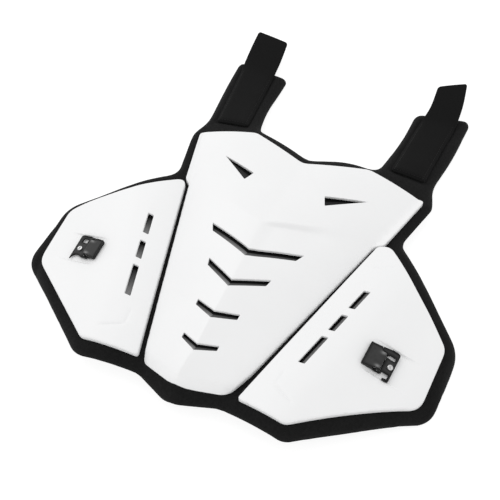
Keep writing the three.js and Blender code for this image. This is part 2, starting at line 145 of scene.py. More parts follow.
# Slots of the wings: distance from the seam, width, corner, and both ends of each
WING_SLOT_OUT = 28.5
WING_SLOT_WIDTH = 6.8
WING_SLOT_CORNER = 1
WING_SLOTS = [(-132, -158), (-168, -190), (-199, -235)]

# Lever buckles in their own millimetres: u outward along the wing, v along the hinge, n off the wing. For
# each its seat and directions, shift of the outer ends, half width and middle of the lever, middle of the
# hinge, rivet.
BUCKLES = {
    "left": {"side": -1, "seat": (-165.2, -151.1016, 34.4602), "along": (0.0338, -0.99856, -0.04159),
             "up": (-0.24875, -0.04871, 0.96734), "slide": 1.6, "half": 11.9, "middle": -1.7, "pivot": -1.2,
             "rivet": (8.8, 1.4)},
    "right": {"side": 1, "seat": (165.2, -151.1016, 34.4602), "along": (0.08442, 0.99602, 0.02844),
              "up": (0.24875, -0.04871, 0.96734), "slide": -2.0, "half": 12.7, "middle": 0.0, "pivot": -0.8,
              "rivet": (8.5, -1.9)}}
# Bracket and lever: under_wear is added to the distance from the edge on the underside, which rubs less, and
# under_round is the share of the edge's round on the underside. The other lengths follow u, v and n.
BRACKET = {
    "inner": 1.2, "outer": 15.0, "neck_side": 16.3, "arm": -5.6, "arm_in": 1.6, "bend": 3.0, "low": 0.7,
    "top": 2.2, "wall": 1.6, "wall_top": 2.9, "wall_in": 2.0, "edge": 0.45, "hole_edge": 0.4,
    "wall_edge": 0.4, "under_wear": 2.0}
# The raised bead round the bracket's floor: height, distance from the edge, half width
BEAD = {"rise": 0.25, "in": 0.9, "half": 0.45}
# The bracket's waist edge from its arm to its outer corner, with v negative to the waist. The right one
# has an open window.
BRACKET_WAIST = {
    "left": [
        (-5.6, -11.6, 0.7), (3.4, -11.0, 1.2), (6.4, -9.2, 2), (11.0, -8.6, 3), (14.0, -10.6, 2),
        (16.0, -15.0, 0.5)],
    "right": [
        (-5.6, -13.2, 0.7), (2.6, -12.6, 0.8), (2.6, -9.4, 0.7), (10.5, -9.4, 0.7), (10.5, -14.4, 0.7),
        (6.2, -14.6, 0.4), (6.2, -16.8, 0.7), (13.0, -17.0, 2.2)]}
EAR = {"thick": 1.6, "outer": 11.2, "inner": -4.2, "reach": 3.5, "crown": 2.4}
WINDOWS = {"left": [(5.0, 7.2), (11.8, 7.2), (11.8, 12.4), (5.0, 12.4)],
           "right": [(1.8, 6.2), (10.2, 6.2), (10.2, 10.0), (1.8, 10.0)]}
WINDOW_CORNER = 0.9
PIN = {"u": -1.5, "n": 3.4, "radius": 1.0, "half": 11.0}
# The pin's slightly upset end: share of its radius, distance past its half length
PIN_END = [(0, 0.25), (0.6, 0.2), (1, -0.1), (1.04, -0.4), (1, -0.7)]
LEVER = {
    "free": -16.0, "neck": 9.2, "root": -4.7, "under": 4.8, "top": 6.1, "slope": 13, "corner": 1.4,
    "edge": 0.7, "under_round": 0.4, "narrowing": 1.6, "lip": 0.8, "lip_run": 3.0, "border": 0.6,
    "border_in": (0.9, 2.0), "border_to": (-5.7, -2.7), "barrel": 2.05, "barrel_edge": 0.5, "bore": 0.2,
    "curl_to": -100, "skirt": 0.8, "clear": 0.45, "arm_gap": 0.3, "under_wear": 1.0}
# Painted highlights on the lever beside the ears, where its curl catches the light: place along u and from
# the pivot, length and width.
PAINTED_HIGHLIGHT = {"u": -2.9, "v": 7.7, "long": 2.6, "wide": 1.6}
RIVET = {
    "head": 2.9, "ridge": 0.62, "foot": 0.7, "dome": 1.6, "round": (-60, 165), "shank": 1.6, "tail": 3.4,
    "chamfer": 0.3, "dimple": 0.7, "dimple_rim": 0.55, "dimple_floor": 0.45}
# The moulded seat under a buckle: its two walls along v, their width, its depth, and where along u it
# comes and goes; and the groove along its neck wall: depth, width, and where it comes and goes
SEAT = {
    "waist_side": -15.6, "neck_side": 18.0, "wall": 1.6, "depth": 1.2, "from": (-20.0, 0.0),
    "to": (12.0, 36.0)}
GROOVE = {"depth": 1.7, "width": 2.6, "from": (4.0, 11.0), "to": (14.0, 30.0)}

# Photograph's camera: axes and place in the row frame
CAMERA_RIGHT = (0.90779, 0.41864, -0.02561)
CAMERA_UP = (-0.32556, 0.74181, 0.58628)
CAMERA_BACK = (0.26444, -0.52389, 0.80970)
CAMERA_PLACE = (0.21545, -0.52140, 0.71487)
CAMERA_LENS = 56.88
CAMERA_SENSOR = 36.0
CAMERA_NEAR = 0.01


def make_camera():
    """Camera whose three axes are the columns of its turn, at the photograph's place."""
    data = bpy.data.cameras.new("photo_camera")
    data.sensor_width = CAMERA_SENSOR
    data.lens = CAMERA_LENS
    data.clip_start = CAMERA_NEAR
    camera = bpy.data.objects.new("photo_camera", data)
    bpy.context.scene.collection.objects.link(camera)
    turn = Matrix((CAMERA_RIGHT, CAMERA_UP, CAMERA_BACK)).transposed().to_4x4()
    camera.matrix_world = Matrix.Translation(CAMERA_PLACE) @ turn
    bpy.context.scene.camera = camera


# Heights

READ_SPREAD = np.linspace(-1, 1, 9)


def reading(table, column, at, blur):
    """Straight-line reading of a table's column, averaged over nine places within the blur on both
    sides."""
    at, blur = np.broadcast_arrays(np.asarray(at, float), np.asarray(blur, float))
    places = at[..., None] + blur[..., None] * READ_SPREAD
    return np.interp(places, table[:, 0], table[:, column]).mean(-1)


def smooth_step(value, low, high):
    """Rises from 0 at low to 1 at high as 3 t squared less 2 t cubed."""
    share = np.clip((value - low) / (high - low), 0, 1)
    return share * share * (3 - 2 * share)


def seam_x(y):
    """The wing seam is a straight line from the step to the waist corner."""
    slope = (STEP_IN[0] - WAIST_CORNER[0]) / (STEP_IN[1] - WAIST_CORNER[1])
    return STEP_IN[0] + slope * (y - STEP_IN[1])


def ridge_lean(y):
    """How far the ridge lies to the side of the middle line."""
    return RIDGE_LEAN["most"] * smooth_step(-y, *RIDGE_LEAN["along"])


def face(x, y):
    """Height of the plates' outer face: over the middle a fall from the ridge line to the seam line,
    round above the V-shaped crease and roof-like below it; past the seam the wing's arch on top of the
    seam's height."""
    across = np.abs(x - ridge_lean(y) * (1 - smooth_step(np.abs(x), *RIDGE_LEAN["across"])))
    edge = seam_x(y)
    seam = reading(SECTIONS, 2, y, SEAM_BLUR)
    wing = seam + reading(WING_ARCH, 1, across - edge, ARCH_BLUR)
    fold = y - FOLD_RISE * across
    share = np.clip(across / edge, 0, 1)
    keep = 1 - smooth_step(share, *FOLD_FADE)
    blur = np.interp(fold, FOLD_BLUR[:, 0], FOLD_BLUR[:, 1])
    spread = (np.maximum(blur, SEAM_BLUR) - blur) * (1 - keep) * (fold > SPREAD_ABOVE)
    ridge = reading(SECTIONS, 1, fold, blur + spread)
    soft = share ** reading(SECTIONS, 3, np.maximum(y, CREASE["fold"]), POWER_BLUR)
    keen = np.clip((CREASE["fold"] - ROOF["from"] - fold) / ROOF["over"], 0, 1)
    roof = (np.hypot(across, ROOF["round"]) - ROOF["round"] * (1 - share)) / edge
    half = CREASE["half"] + CREASE["wider"] * (1 - keep)
    below = smooth_step(CREASE["fold"] - fold, -half, half)
    fall = soft + (keen * roof + (1 - keen) * share ** ROOF["power"] - soft) * below
    fade = np.clip(1 - (CREASE["fold"] - fold) / CREASE["fade"], 0, 1)
    step = CREASE["step"] * smooth_step(x, *CREASE["across"]) * below * fade * keep
    return np.where(across > edge, wing, ridge + (seam - ridge) * fall - step)


def foam_base(x, y):
    """Underside of the foam: the plates' face less the layers, and never under the floor."""
    return np.maximum(0, face(x, y) - STACK)


def rounding(distance, radius):
    """Drop of a surface at a distance from its edge, for a quarter round of that radius."""
    inward = radius - np.clip(distance, 0, radius)
    return radius - np.sqrt(radius * radius - inward * inward)


# Outlines

# A corner's rounding takes at most one part in this of the run beside it
RUN_PARTS = 2.1
# Points closer than this are one point
SAME_POINT = 1e-3
# Points compared with an outline at once
BLOCK = 1500


def rounded(corners, step):
    """Closed outline, counterclockwise: a quadratic curve at each corner, from its cut before to its cut
    after, and even steps along the straight runs."""
    points = np.array([corner[:2] for corner in corners], float)
    cuts = np.array([corner[2] for corner in corners], float)
    ahead = np.roll(points, -1, 0)
    if (points[:, 0] * ahead[:, 1] - points[:, 1] * ahead[:, 0]).sum() < 0:
        points, cuts = points[::-1], cuts[::-1]
    back = np.roll(points, 1, 0) - points
    ahead = np.roll(points, -1, 0) - points
    far_back, far_ahead = np.linalg.norm(back, axis=1), np.linalg.norm(ahead, axis=1)
    starts = points + back * (np.minimum(cuts, far_back / RUN_PARTS) / far_back)[:, None]
    ends = points + ahead * (np.minimum(cuts, far_ahead / RUN_PARTS) / far_ahead)[:, None]
    runs = []
    for start, corner, end, cut, after in zip(starts, points, ends, cuts, np.roll(starts, -1, 0)):
        share = np.linspace(0, 1, 3 + int(cut / step * 2) if cut else 1)[:, None]
        runs.append((1 - share) ** 2 * start + 2 * share * (1 - share) * corner + share ** 2 * end)
        count = int(np.linalg.norm(after - end) / step) + 1
        share = np.linspace(0, 1, count + 1)[1:-1, None]
        runs.append(end + share * (after - end))
    ring = np.concatenate(runs)
    return ring[np.linalg.norm(ring - np.roll(ring, 1, 0), axis=1) > SAME_POINT]


def mirrored(corners):
    """The corners on the other side of the middle line."""
    return [(-corner[0], *corner[1:]) for corner in corners]


def in_place(name, corners):
    """Corners given as on the right side, on their own side."""
    return corners if name == "right" else mirrored(corners)


def all_round(first, sides, last):
    """Corners of a closed outline: the first, the right side, the last, and back up the left side in its
    place."""
    return [first, *sides["right"], last, *mirrored(sides["left"])[::-1]]


def center_outline():
    """Corners of the middle plate."""
    return all_round(NECK_NOTCH, CENTER_SIDES, WAIST_TIP)


def in_blocks(points):
    """The points in blocks that are small enough to compare with a whole outline."""
    return np.array_split(points, max(1, len(points) // BLOCK))


def to_ring(points, ring):
    """Distance from each point to the nearest run of a closed outline."""
    run = np.roll(ring, -1, 0) - ring
    nearest = []
    for block in in_blocks(points):
        offset = block[:, None] - ring
        along = np.clip((offset * run).sum(-1) / (run * run).sum(-1), 0, 1)
        nearest.append(np.linalg.norm(offset - along[..., None] * run, axis=-1).min(1))
    return np.concatenate(nearest)


def within(points, ring):
    """True for points inside a closed outline, by counting the runs that a line to one side crosses."""
    low, high = ring, np.roll(ring, -1, 0)
    inside = []
    for block in in_blocks(points):
        x, y = block[:, :1], block[:, 1:]
        straddles = (low[:, 1] > y) != (high[:, 1] > y)
        rise = np.where(high[:, 1] == low[:, 1], 1, high[:, 1] - low[:, 1])
        crossing = low[:, 0] + (y - low[:, 1]) * (high[:, 0] - low[:, 0]) / rise
        inside.append((straddles & (x < crossing)).sum(1) % 2 == 1)
    return np.concatenate(inside)


# Least cosine of half a turn that a shifted corner reaches out for, and the share of the distance it has
# to keep
SHARPEST = 0.6
CLEAR_SHARE = 0.9


def beside(ring, distance):
    """Points at a distance to the left of an outline, on the bisector at each of its points."""
    run = np.roll(ring, -1, 0) - ring
    run /= np.linalg.norm(run, axis=1)[:, None]
    left = np.c_[-run[:, 1], run[:, 0]]
    middle = left + np.roll(left, 1, 0)
    middle /= np.linalg.norm(middle, axis=1)[:, None]
    points = ring + middle * distance / np.maximum(SHARPEST, (middle * left).sum(1))[:, None]
    return points[to_ring(points, ring) > CLEAR_SHARE * abs(distance)]


# Grids between outlines: height of an even triangle on a side of 1, and room kept to the points beside
# outlines and to lines, as shares of the spacing
ROW_HEIGHT = 0.866
OUTLINE_ROOM = 0.45
LINE_ROOM = 0.5
# Room to lines is measured to one point in this many
LINE_SKIP = 4
# Distance that stands for no hole at all, and the tolerance of the triangles
FAR = 1e3
TOLERANCE = 1e-5


class Plan:
    """Triangles over an outline with holes. Points lie on the outlines, beside them at the given
    distances, along the given lines and on an even grid between; the constrained Delaunay rule joins
    them."""

    def __init__(self, outline, holes=(), beside_outline=(), beside_holes=(), spacing=4.0, lines=()):
        self.outline = outline
        self.holes = list(holes)
        rings = [outline, *self.holes]
        loose = [beside(outline, distance) for distance in beside_outline]
        loose += [beside(hole, -distance) for hole in self.holes for distance in beside_holes]
        loose += list(lines)
        low, high = outline.min(0), outline.max(0)
        rows = np.arange(low[1], high[1], spacing * ROW_HEIGHT)
        columns = np.arange(low[0] - spacing, high[0] + spacing, spacing)
        shift = (np.arange(len(rows)) % 2 * spacing / 2)[:, None]
        grid = np.stack(np.broadcast_arrays(columns + shift, rows[:, None]), -1).reshape(-1, 2)
        room = to_ring(grid, outline) > max(beside_outline, default=0) + OUTLINE_ROOM * spacing
        for hole in self.holes:
            room &= to_ring(grid, hole) > max(beside_holes, default=0) + OUTLINE_ROOM * spacing
        for line in lines:
            gap = np.linalg.norm(grid[:, None] - line[None, ::LINE_SKIP], axis=-1).min(1)
            room &= gap > LINE_ROOM * spacing
        loose = np.concatenate([*loose, grid[room]])
        loose = loose[self.holds(loose)]
        points = np.concatenate([*rings, loose])
        starts = np.cumsum([0] + [len(ring) for ring in rings])
        runs = [(start + i, start + (i + 1) % len(ring))
                for start, ring in zip(starts, rings) for i in range(len(ring))]
        corners, _, triangles, *_ = delaunay_2d_cdt([Vector(p) for p in points], runs, [], 0, TOLERANCE)
        corners = np.array(corners, float)[:, :2]
        triangles = np.array(triangles)
        triangles = triangles[self.holds(corners[triangles].mean(1))]
        used, triangles = np.unique(triangles, return_inverse=True)
        self.points = corners[used]
        self.triangles = triangles.reshape(-1, 3)
        a, b, c = (self.points[self.triangles[:, i]] for i in range(3))
        turned = (b - a)[:, 0] * (c - a)[:, 1] - (b - a)[:, 1] * (c - a)[:, 0] < 0
        self.triangles[turned] = self.triangles[turned][:, ::-1]
        self.to_outline = to_ring(self.points, outline)
        self.to_holes = np.full(len(self.points), FAR)
        for hole in self.holes:
            self.to_holes = np.minimum(self.to_holes, to_ring(self.points, hole))

    def holds(self, points):
        """True for points on the plan: inside the outline and in none of the holes."""
        inside = within(points, self.outline)
        for hole in self.holes:
            inside &= ~within(points, hole)
        return inside

    def free_edges(self):
        """Edges with a triangle on one side only, in that triangle's direction."""
        edges = np.concatenate([self.triangles[:, [i, (i + 1) % 3]] for i in range(3)])
        count = len(self.points)
        key, back = edges[:, 0] * count + edges[:, 1], edges[:, 1] * count + edges[:, 0]
        return edges[~np.isin(key, back)]

    def shell(self, top, low):
        """Closed wall between two heights over the plan: upper faces, turned lower faces, and a quad
        under every free edge."""
        count = len(self.points)
        points = np.concatenate([np.c_[self.points, top], np.c_[self.points, low]])
        free = self.free_edges()
        sides = np.c_[free[:, 0], free[:, 0] + count, free[:, 1] + count, free[:, 1]]
        return points, [self.triangles, self.triangles[:, ::-1] + count, sides]

    def pillow(self, top, low):
        """Closed cushion between two heights that meet along the free edges."""
        count = len(self.points)
        rim = np.unique(self.free_edges())
        under = np.arange(count) + count
        under[rim] = rim
        points = np.concatenate([np.c_[self.points, top], np.c_[self.points, low]])
        faces = np.concatenate([self.triangles, under[self.triangles][:, ::-1]])
        used, faces = np.unique(faces, return_inverse=True)
        return points[used], [faces.reshape(-1, 3)], used


# Pieces

def row_frame(points):
    """Millimetres from the neck notch to metres in the row frame."""
    return (np.asarray(points, float) + (0, NECK_Y, 0)) * MM


# Least angle of a sharp fold on hard and on soft pieces
HARD_SHARP = 38
SOFT_SHARP = 60


def add_piece(name, points, faces, material, body=GUARD, sharp=HARD_SHARP, edge=None, painted_light=None):
    """A mesh object at the origin from points in metres and blocks of faces, shaded smooth with sharp
    folds."""
    mesh = bpy.data.meshes.new(name)
    mesh.from_pydata(points.tolist(), [], [face for block in faces for face in block.tolist()])
    mesh.polygons.foreach_set("use_smooth", np.ones(len(mesh.polygons), bool))
    mesh.set_sharp_from_angle(angle=math.radians(sharp))
    # Stored per point: distance to the edge for wear, and painted light for the slot linings and the lever's
    # highlights.
    for label, values in (("edge_mm", edge), ("painted_light", painted_light)):
        if values is not None:
            stored_values = mesh.attributes.new(label, "FLOAT", "POINT").data
            stored_values.foreach_set("value", values.astype(np.float32))
    mesh.materials.append(material)
    mesh.update()
    piece = bpy.data.objects.new(name, mesh)
    bpy.context.scene.collection.objects.link(piece)
    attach(piece, body)
    return piece


# Plates: radius of the round edge, of the slots' edges, half width of the step to the thin shell, and the
# points beside outlines and slots, between them and along them
PLATE_EDGE = 1.4
SLOT_EDGE = 0.4
RIM_SOFT = 0.7
BESIDE_PLATE = (0.1, 0.4, 0.85, PLATE_EDGE, 3.4)
BESIDE_SLOT = (0.12, SLOT_EDGE, 1.6)
PLATE_SPACING = 4.2
OUTLINE_STEP = 2.5
SLOT_STEP = 1.6


def plate(name, node_name, outline, slots, lines, swell, material):
    """A moulded shell: the face with a round edge, a turned-down rim, and slots with small round
    edges."""
    slots = [rounded(corners, SLOT_STEP) for corners in slots]
    plan = Plan(rounded(outline, OUTLINE_STEP), slots, BESIDE_PLATE, BESIDE_SLOT, PLATE_SPACING, lines)
    x, y = plan.points.T
    top = face(x, y) + swell(x, y, plan.to_outline)
    drop = np.maximum(rounding(plan.to_outline, PLATE_EDGE), rounding(plan.to_holes, SLOT_EDGE))
    rim = 1 - smooth_step(plan.to_outline, RIM_WIDTH - RIM_SOFT, RIM_WIDTH + RIM_SOFT)
    low = top - SHELL_THICK - (PLATE_DEPTH - SHELL_THICK) * rim
    points, faces = plan.shell(top - drop, low)
    edge = np.minimum(plan.to_outline, plan.to_holes)
    edge = np.r_[edge, edge + SHELL_THICK]
    piece = add_piece(name, row_frame(points), faces, material, edge=edge)
    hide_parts(node_name)
    return piece


def chevron(apex, width, half, rise, foot, tip):
    """Corners of one V-shaped slot."""
    arm = [(half, apex + rise, CHEVRON_CORNER), (foot, apex + rise - tip, CHEVRON_CORNER)]
    return all_round((0, apex, 0), {"left": arm, "right": arm}, (0, apex - width, 0))


def wing_slot(top, bottom):
    """Corners of one slot beside the seam."""
    near, far = WING_SLOT_OUT, WING_SLOT_OUT + WING_SLOT_WIDTH
    ends = ((top, near), (top, far), (bottom, far), (bottom, near))
    return [(seam_x(y) + out, y, WING_SLOT_CORNER) for y, out in ends]


# Linings in the slots: how far they reach towards the other edge, depth under the face at their start and
# how much deeper at the other edge. The painted light, for light that falls into the slots: lightness at the
# start, its fall along the first edge and its fall on the way.
CENTER_LINING = {"open": 0.62, "start": 0.7, "depth": 4.5}
CHEVRON_PAINTED_LIGHT = (1.0, 0.75, 0.6)
TRIANGLE_PAINTED_LIGHT = (0.1, 0.5, 0.5)
# Painted light on the right as a share of the left's, darker as the right faces away from the light, and its
# fall along the first edge there
RIGHT_PAINTED_LIGHT_SHARE = 0.4
RIGHT_FALL = 0.4
WING_LINING = {
    "left": {"open": 0.92, "start": 1.7, "depth": 4.2, "painted_light": (0.66, 0, 0.9)},
    "right": {"open": 0.6, "start": 1.8, "depth": 4.0, "painted_light": (0.6, 0, 0.3)}}
# Thickness, where a lining starts and ends along the first edge and starts on the way, and its rows and
# columns
LINING_WALL = 0.8
LINING_ALONG = (-0.01, 1.01)
LINING_FROM = -0.06
LINING_GRID = (12, 13)


def slab(rows, columns):
    """Faces of two grids, one under the other: upper quads, turned lower quads and a wall round the
    rim."""
    count = rows * columns
    i, j = np.meshgrid(np.arange(rows - 1), np.arange(columns - 1), indexing="ij")
    a = (i * columns + j).ravel()
    quads = np.c_[a, a + 1, a + columns + 1, a + columns]
    rim = np.r_[np.arange(columns), columns * np.arange(1, rows) + columns - 1,
                count - 2 - np.arange(columns - 1), columns * np.arange(rows - 2, 0, -1)]
    after = np.roll(rim, -1)
    return np.concatenate([quads, quads[:, ::-1] + count, np.c_[rim, rim + count, after + count, after]])


def vent_lining(name, patches, shape, painted_light, material):
    """Dark lining seen in the slots: each patch goes from one edge of a slot (two corners) towards the other
    (two corners), as a straight mix of the four, and sinks evenly below the face on the way. Its painted
    light, strongest at the first edge, stands for light falling into the slot and shade under its edges."""
    rows, columns = LINING_GRID
    s, q = np.meshgrid(np.linspace(*LINING_ALONG, columns), np.linspace(LINING_FROM, shape["open"], rows))
    corners = np.array(patches, float)[:, :, None, None]
    low = corners[:, 0] + (corners[:, 1] - corners[:, 0]) * s[..., None]
    high = corners[:, 3] + (corners[:, 2] - corners[:, 3]) * s[..., None]
    plan = low + (high - low) * q[..., None]
    z = face(plan[..., 0], plan[..., 1]) - shape["start"] - shape["depth"] * np.clip(q, 0, 1)
    points, faces, painted_shades = [], [], []
    block = slab(rows, columns)
    for patch, height, corner, (first, along, onward) in zip(plan, z, corners[:, :, 0, 0], painted_light):
        top = np.concatenate([patch, height[..., None]], -1).reshape(-1, 3)
        turned = np.cross(corner[1] - corner[0], corner[3] - corner[0]) < 0
        # Painted shade: the lightness falls along the first edge and on the way into the slot.
        painted_shade = first * (1 - along * np.clip(s, 0, 1)) * (1 - onward * np.clip(q / shape["open"], 0, 1))
        faces.append((block[:, ::-1] if turned else block) + sum(map(len, points)))
        points.append(np.concatenate([top, top - (0, 0, LINING_WALL)]))
        painted_shades += [painted_shade.ravel(), painted_shade.ravel()]
    points, painted_shades = row_frame(np.concatenate(points)), np.concatenate(painted_shades)
    return add_piece(name, points, faces, material, painted_light=painted_shades)


def center_lining(material):
    """Linings of the middle plate: two for each V-shaped slot and one for each triangle, with painted light
    that is darker on the right, which faces away from the light."""
    arms = [[(0, apex - width), (foot, apex + rise - tip), (half, apex + rise), (0, apex)]
            for apex, width, half, rise, foot, tip in CHEVRONS]
    (a, b, c) = (corner[:2] for corner in TRIANGLE)
    arms.append([c, b, b, a])
    left = [CHEVRON_PAINTED_LIGHT] * len(CHEVRONS) + [TRIANGLE_PAINTED_LIGHT]
    right = [(RIGHT_PAINTED_LIGHT_SHARE * first, RIGHT_FALL, onward) for first, _, onward in left]
    patches = arms + [mirrored(arm) for arm in arms]
    return vent_lining("vent_lining_center", patches, CENTER_LINING, right + left, material)


def wing_lining(name, material):
    """Linings of a side plate, with painted light that falls off lengthwise from the waist end on the left
    and crosswise from the outer edge on the right, as the light falls into them."""
    patches = []
    for row in WING_SLOTS:
        (a, b, c, d) = (corner[:2] for corner in in_place(name, wing_slot(*row)))
        patches.append([d, c, b, a] if name == "left" else [c, b, a, d])
    shape = WING_LINING[name]
    return vent_lining(f"vent_lining_{name}", patches, shape, [shape["painted_light"]] * len(patches), material)


# Points of the middle plate along the ridge and the V-shaped crease, and how far beside them
RIDGE_RUN = np.arange(-303, -108, 1.4)
BESIDE_RIDGE = (-2.2, -0.8, 0, 0.8, 2.2)
CREASE_RUN = np.linspace(-112, 112, 150)
BESIDE_CREASE = (-4, -2.6, -1.3, 0, 1.3, 2.6, 4)
# The swell beside its lower edges and the bevel at the waist: height, reach from the edge, where it sets
# in below
EDGE_SWELL = {"rise": 2.0, "reach": 5.0, "below": (70, 120)}
WAIST_BEVEL = {"drop": 5.2, "reach": (0.4, 6.5), "below": (276, 292)}


def center_plate(material):
    """The middle plate, with a swell beside its lower edges, a bevel at the waist, and points along the
    ridge and the V-shaped crease."""
    slots = [*(chevron(*row) for row in CHEVRONS), TRIANGLE, mirrored(TRIANGLE)]
    lines = [np.c_[ridge_lean(RIDGE_RUN) + x, RIDGE_RUN] for x in BESIDE_RIDGE]
    rise = FOLD_RISE * np.abs(CREASE_RUN)
    lines += [np.c_[CREASE_RUN, CREASE["fold"] + fold + rise] for fold in BESIDE_CREASE]

    def swell(x, y, distance):
        """A rise that levels off away from the edge, less the bevel."""
        side = smooth_step(-y, *EDGE_SWELL["below"]) * np.clip(np.abs(x) / seam_x(y), 0, 1) ** 2
        bevel = 1 - smooth_step(distance, *WAIST_BEVEL["reach"])
        bevel = WAIST_BEVEL["drop"] * bevel * smooth_step(-y, *WAIST_BEVEL["below"])
        return EDGE_SWELL["rise"] * (1 - np.exp(-distance / EDGE_SWELL["reach"])) * side - bevel

    return plate("center_shell", "center_plate", center_outline(), slots, lines, swell, material)


def seat_plane(name):
    """The directions of a buckle's seat seen from above, as two rows of length 1: u outward and v to the
    neck."""
    row = BUCKLES[name]
    u = np.cross(row["along"], row["up"])[:2]
    v = np.array(row["along"][:2]) * row["side"]
    return np.array([u / np.linalg.norm(u), v / np.linalg.norm(v)])


def seat_depth(name, x, y):
    """Depth of the moulded seat under a buckle: a shallow trough between two steep walls, which comes out
    of the wing under the lever and runs out beyond the bracket, with a groove along the wall on the neck
    side."""
    seat = BUCKLES[name]["seat"]
    offset = np.stack([x - seat[0], y + NECK_Y - seat[1]], -1)
    u, v = (offset @ way for way in seat_plane(name))
    inside = smooth_step(v, SEAT["waist_side"] - SEAT["wall"], SEAT["waist_side"])
    inside = inside * (1 - smooth_step(v, SEAT["neck_side"], SEAT["neck_side"] + SEAT["wall"]))
    trough, groove = (
        part["depth"] * smooth_step(u, *part["from"]) * (1 - smooth_step(u, *part["to"]))
        for part in (SEAT, GROOVE))
    return inside * (trough + groove * np.exp(-np.maximum(SEAT["neck_side"] - v, 0) / GROOVE["width"]))


# Points along the walls of a seat: their step, and places across a wall as shares of its width
SEAT_STEP = 1.3
ACROSS_WALL = np.array((-0.2, 0.25, 0.5, 0.75, 1.2))


def seat_lines(name):
    """Points along the walls of a buckle's seat."""
    start = np.array(BUCKLES[name]["seat"][:2]) - (0, NECK_Y)
    run = np.arange(SEAT["from"][0], SEAT["to"][1], SEAT_STEP)
    shift = ACROSS_WALL * SEAT["wall"]
    rows = np.r_[SEAT["waist_side"] - shift, SEAT["neck_side"] + shift]
    return [np.c_[run, np.full_like(run, v)] @ seat_plane(name) + start for v in rows]


def wing_creases(name):
    """A wing's creases: start, direction, length, depth and half width of each."""
    for start, end, depth, half, wings in WING_CREASES:
        if name in wings:
            start, end = np.array((start, end)) * (SHOULDERS[name]["side"], 1)
            length = np.linalg.norm(end - start)
            yield start, (end - start) / length, length, depth, half


# How far a crease fades past its ends and before them; points along it, past both ends by a share of its
# length, and beside it in half widths
CREASE_PAST = 3.0
CREASE_BEFORE = 4.0
ALONG_CREASE = np.linspace(-0.1, 1.1, 26)[:, None]
ACROSS_CREASE = (-2, -1, 0, 1, 2)


def crease_depth(name, x, y):
    """Depth of a wing's short creases: a bell across each line, which fades towards both ends."""
    total = np.zeros_like(x)
    for start, along, length, depth, half in wing_creases(name):
        offset = np.stack([x, y], -1) - start
        run, aside = offset @ along, offset @ np.array((-along[1], along[0]))
        fade = smooth_step(run, -CREASE_PAST, CREASE_BEFORE)
        fade = fade * (1 - smooth_step(run, length - CREASE_BEFORE, length + CREASE_PAST))
        total += depth * np.exp(-(aside / half) ** 2) * fade
    return total


def crease_lines(name):
    """Points along a wing's short creases and beside them."""
    lines = []
    for start, along, length, _, half in wing_creases(name):
        run = start + along * length * ALONG_CREASE
        lines += [run + np.array((-along[1], along[0])) * half * share for share in ACROSS_CREASE]
    return lines


# The panel outside a wing's slot line: rise, half width of its step, reach outward, the y between which
# it comes and goes
PANEL = {"rise": 0.5, "soft": 2.5, "reach": 40.0, "from": (-245, -225), "to": (-130, -112)}


def wing_plate(name, material):
    """A side plate, with the strip inside its slot line a little lower than the panel outside it, the
    seat of its buckle and its creases."""
    slots = [in_place(name, wing_slot(*row)) for row in WING_SLOTS]

    def swell(x, y, distance):
        """The panel's step, less the seat and the creases."""
        out = np.abs(x) - seam_x(y) - WING_SLOT_OUT - WING_SLOT_WIDTH / 2
        along = smooth_step(y, *PANEL["from"]) * (1 - smooth_step(y, *PANEL["to"]))
        step = PANEL["rise"] * along * smooth_step(out, -PANEL["soft"], PANEL["soft"])
        panel = step * np.exp(-np.maximum(out, 0) / PANEL["reach"])
        return panel - seat_depth(name, x, y) - crease_depth(name, x, y)

    outline, lines = in_place(name, WINGS[name]), seat_lines(name) + crease_lines(name)
    return plate(f"wing_shell_{name}", f"wing_plate_{name}", outline, slots, lines, swell, material)


def liner_outline():
    """Corners of the liner with both shoulder pads, sewn as one."""
    sides = {name: row["pad"] + row["border"] for name, row in SHOULDERS.items()}
    return all_round(LINER_NECK, sides, LINER_WAIST)


def smooth_path(corners, share):
    """A curve through the corners at shares of its length: cubic runs, whose direction at each corner is
    the one between its neighbours."""
    corners = np.array(corners, float)
    at = np.r_[0, np.cumsum(np.linalg.norm(np.diff(corners, axis=0), axis=1))]
    lean = np.gradient(corners, at, axis=0)
    place = share * at[-1]
    run = np.clip(np.searchsorted(at, place, "right") - 1, 0, len(at) - 2)
    length = (at[run + 1] - at[run])[:, None]
    t = (place - at[run])[:, None] / length
    near = (1 + 2 * t) * corners[run] + t * length * lean[run]
    far = (3 - 2 * t) * corners[run + 1] + (t - 1) * length * lean[run + 1]
    return (1 - t) ** 2 * near + t ** 2 * far


# The channel that is sewn into the pads round the straps: depth, reach, and the y between which it ends
CHANNEL_DEPTH = 2.2
CHANNEL_REACH = 3.2
CHANNEL_FADE = (140, 158)
RING_SHARES = np.linspace(0, 1, 60)


def strap_ring(row):
    """Outline of a strap seen from above."""
    inner, outer = (smooth_path(row[key], RING_SHARES) for key in ("inner", "outer"))
    return np.concatenate([inner, outer[::-1]]) * (row["side"], 1)


def channel(points):
    """Depth of the sewn channel on the pads: a bell of the distance to the nearest strap's outline, which
    fades towards the pad's end."""
    near = np.minimum(*(to_ring(points, strap_ring(row)) for row in SHOULDERS.values()))
    fade = 1 - smooth_step(points[:, 1], *CHANNEL_FADE)
    return CHANNEL_DEPTH * np.exp(-(near / CHANNEL_REACH) ** 2) * fade


# The liner: width of the roll at its edge, share of the foam below the edge, power of the roll, and
# points beside the outline (as turns of the roll) and beside the straps, between them and along the
# outline
FOAM_ROLL = 11.0
FOAM_EDGE = 0.30
ROLL_POWER = 0.62
ROLL_TURNS = np.radians((12, 25, 38, 52, 66, 82))
BESIDE_STRAP = (-5, -2.4, 0.01, 2.4, 5)
LINER_SPACING = 4.6
LINER_STEP = 3.0
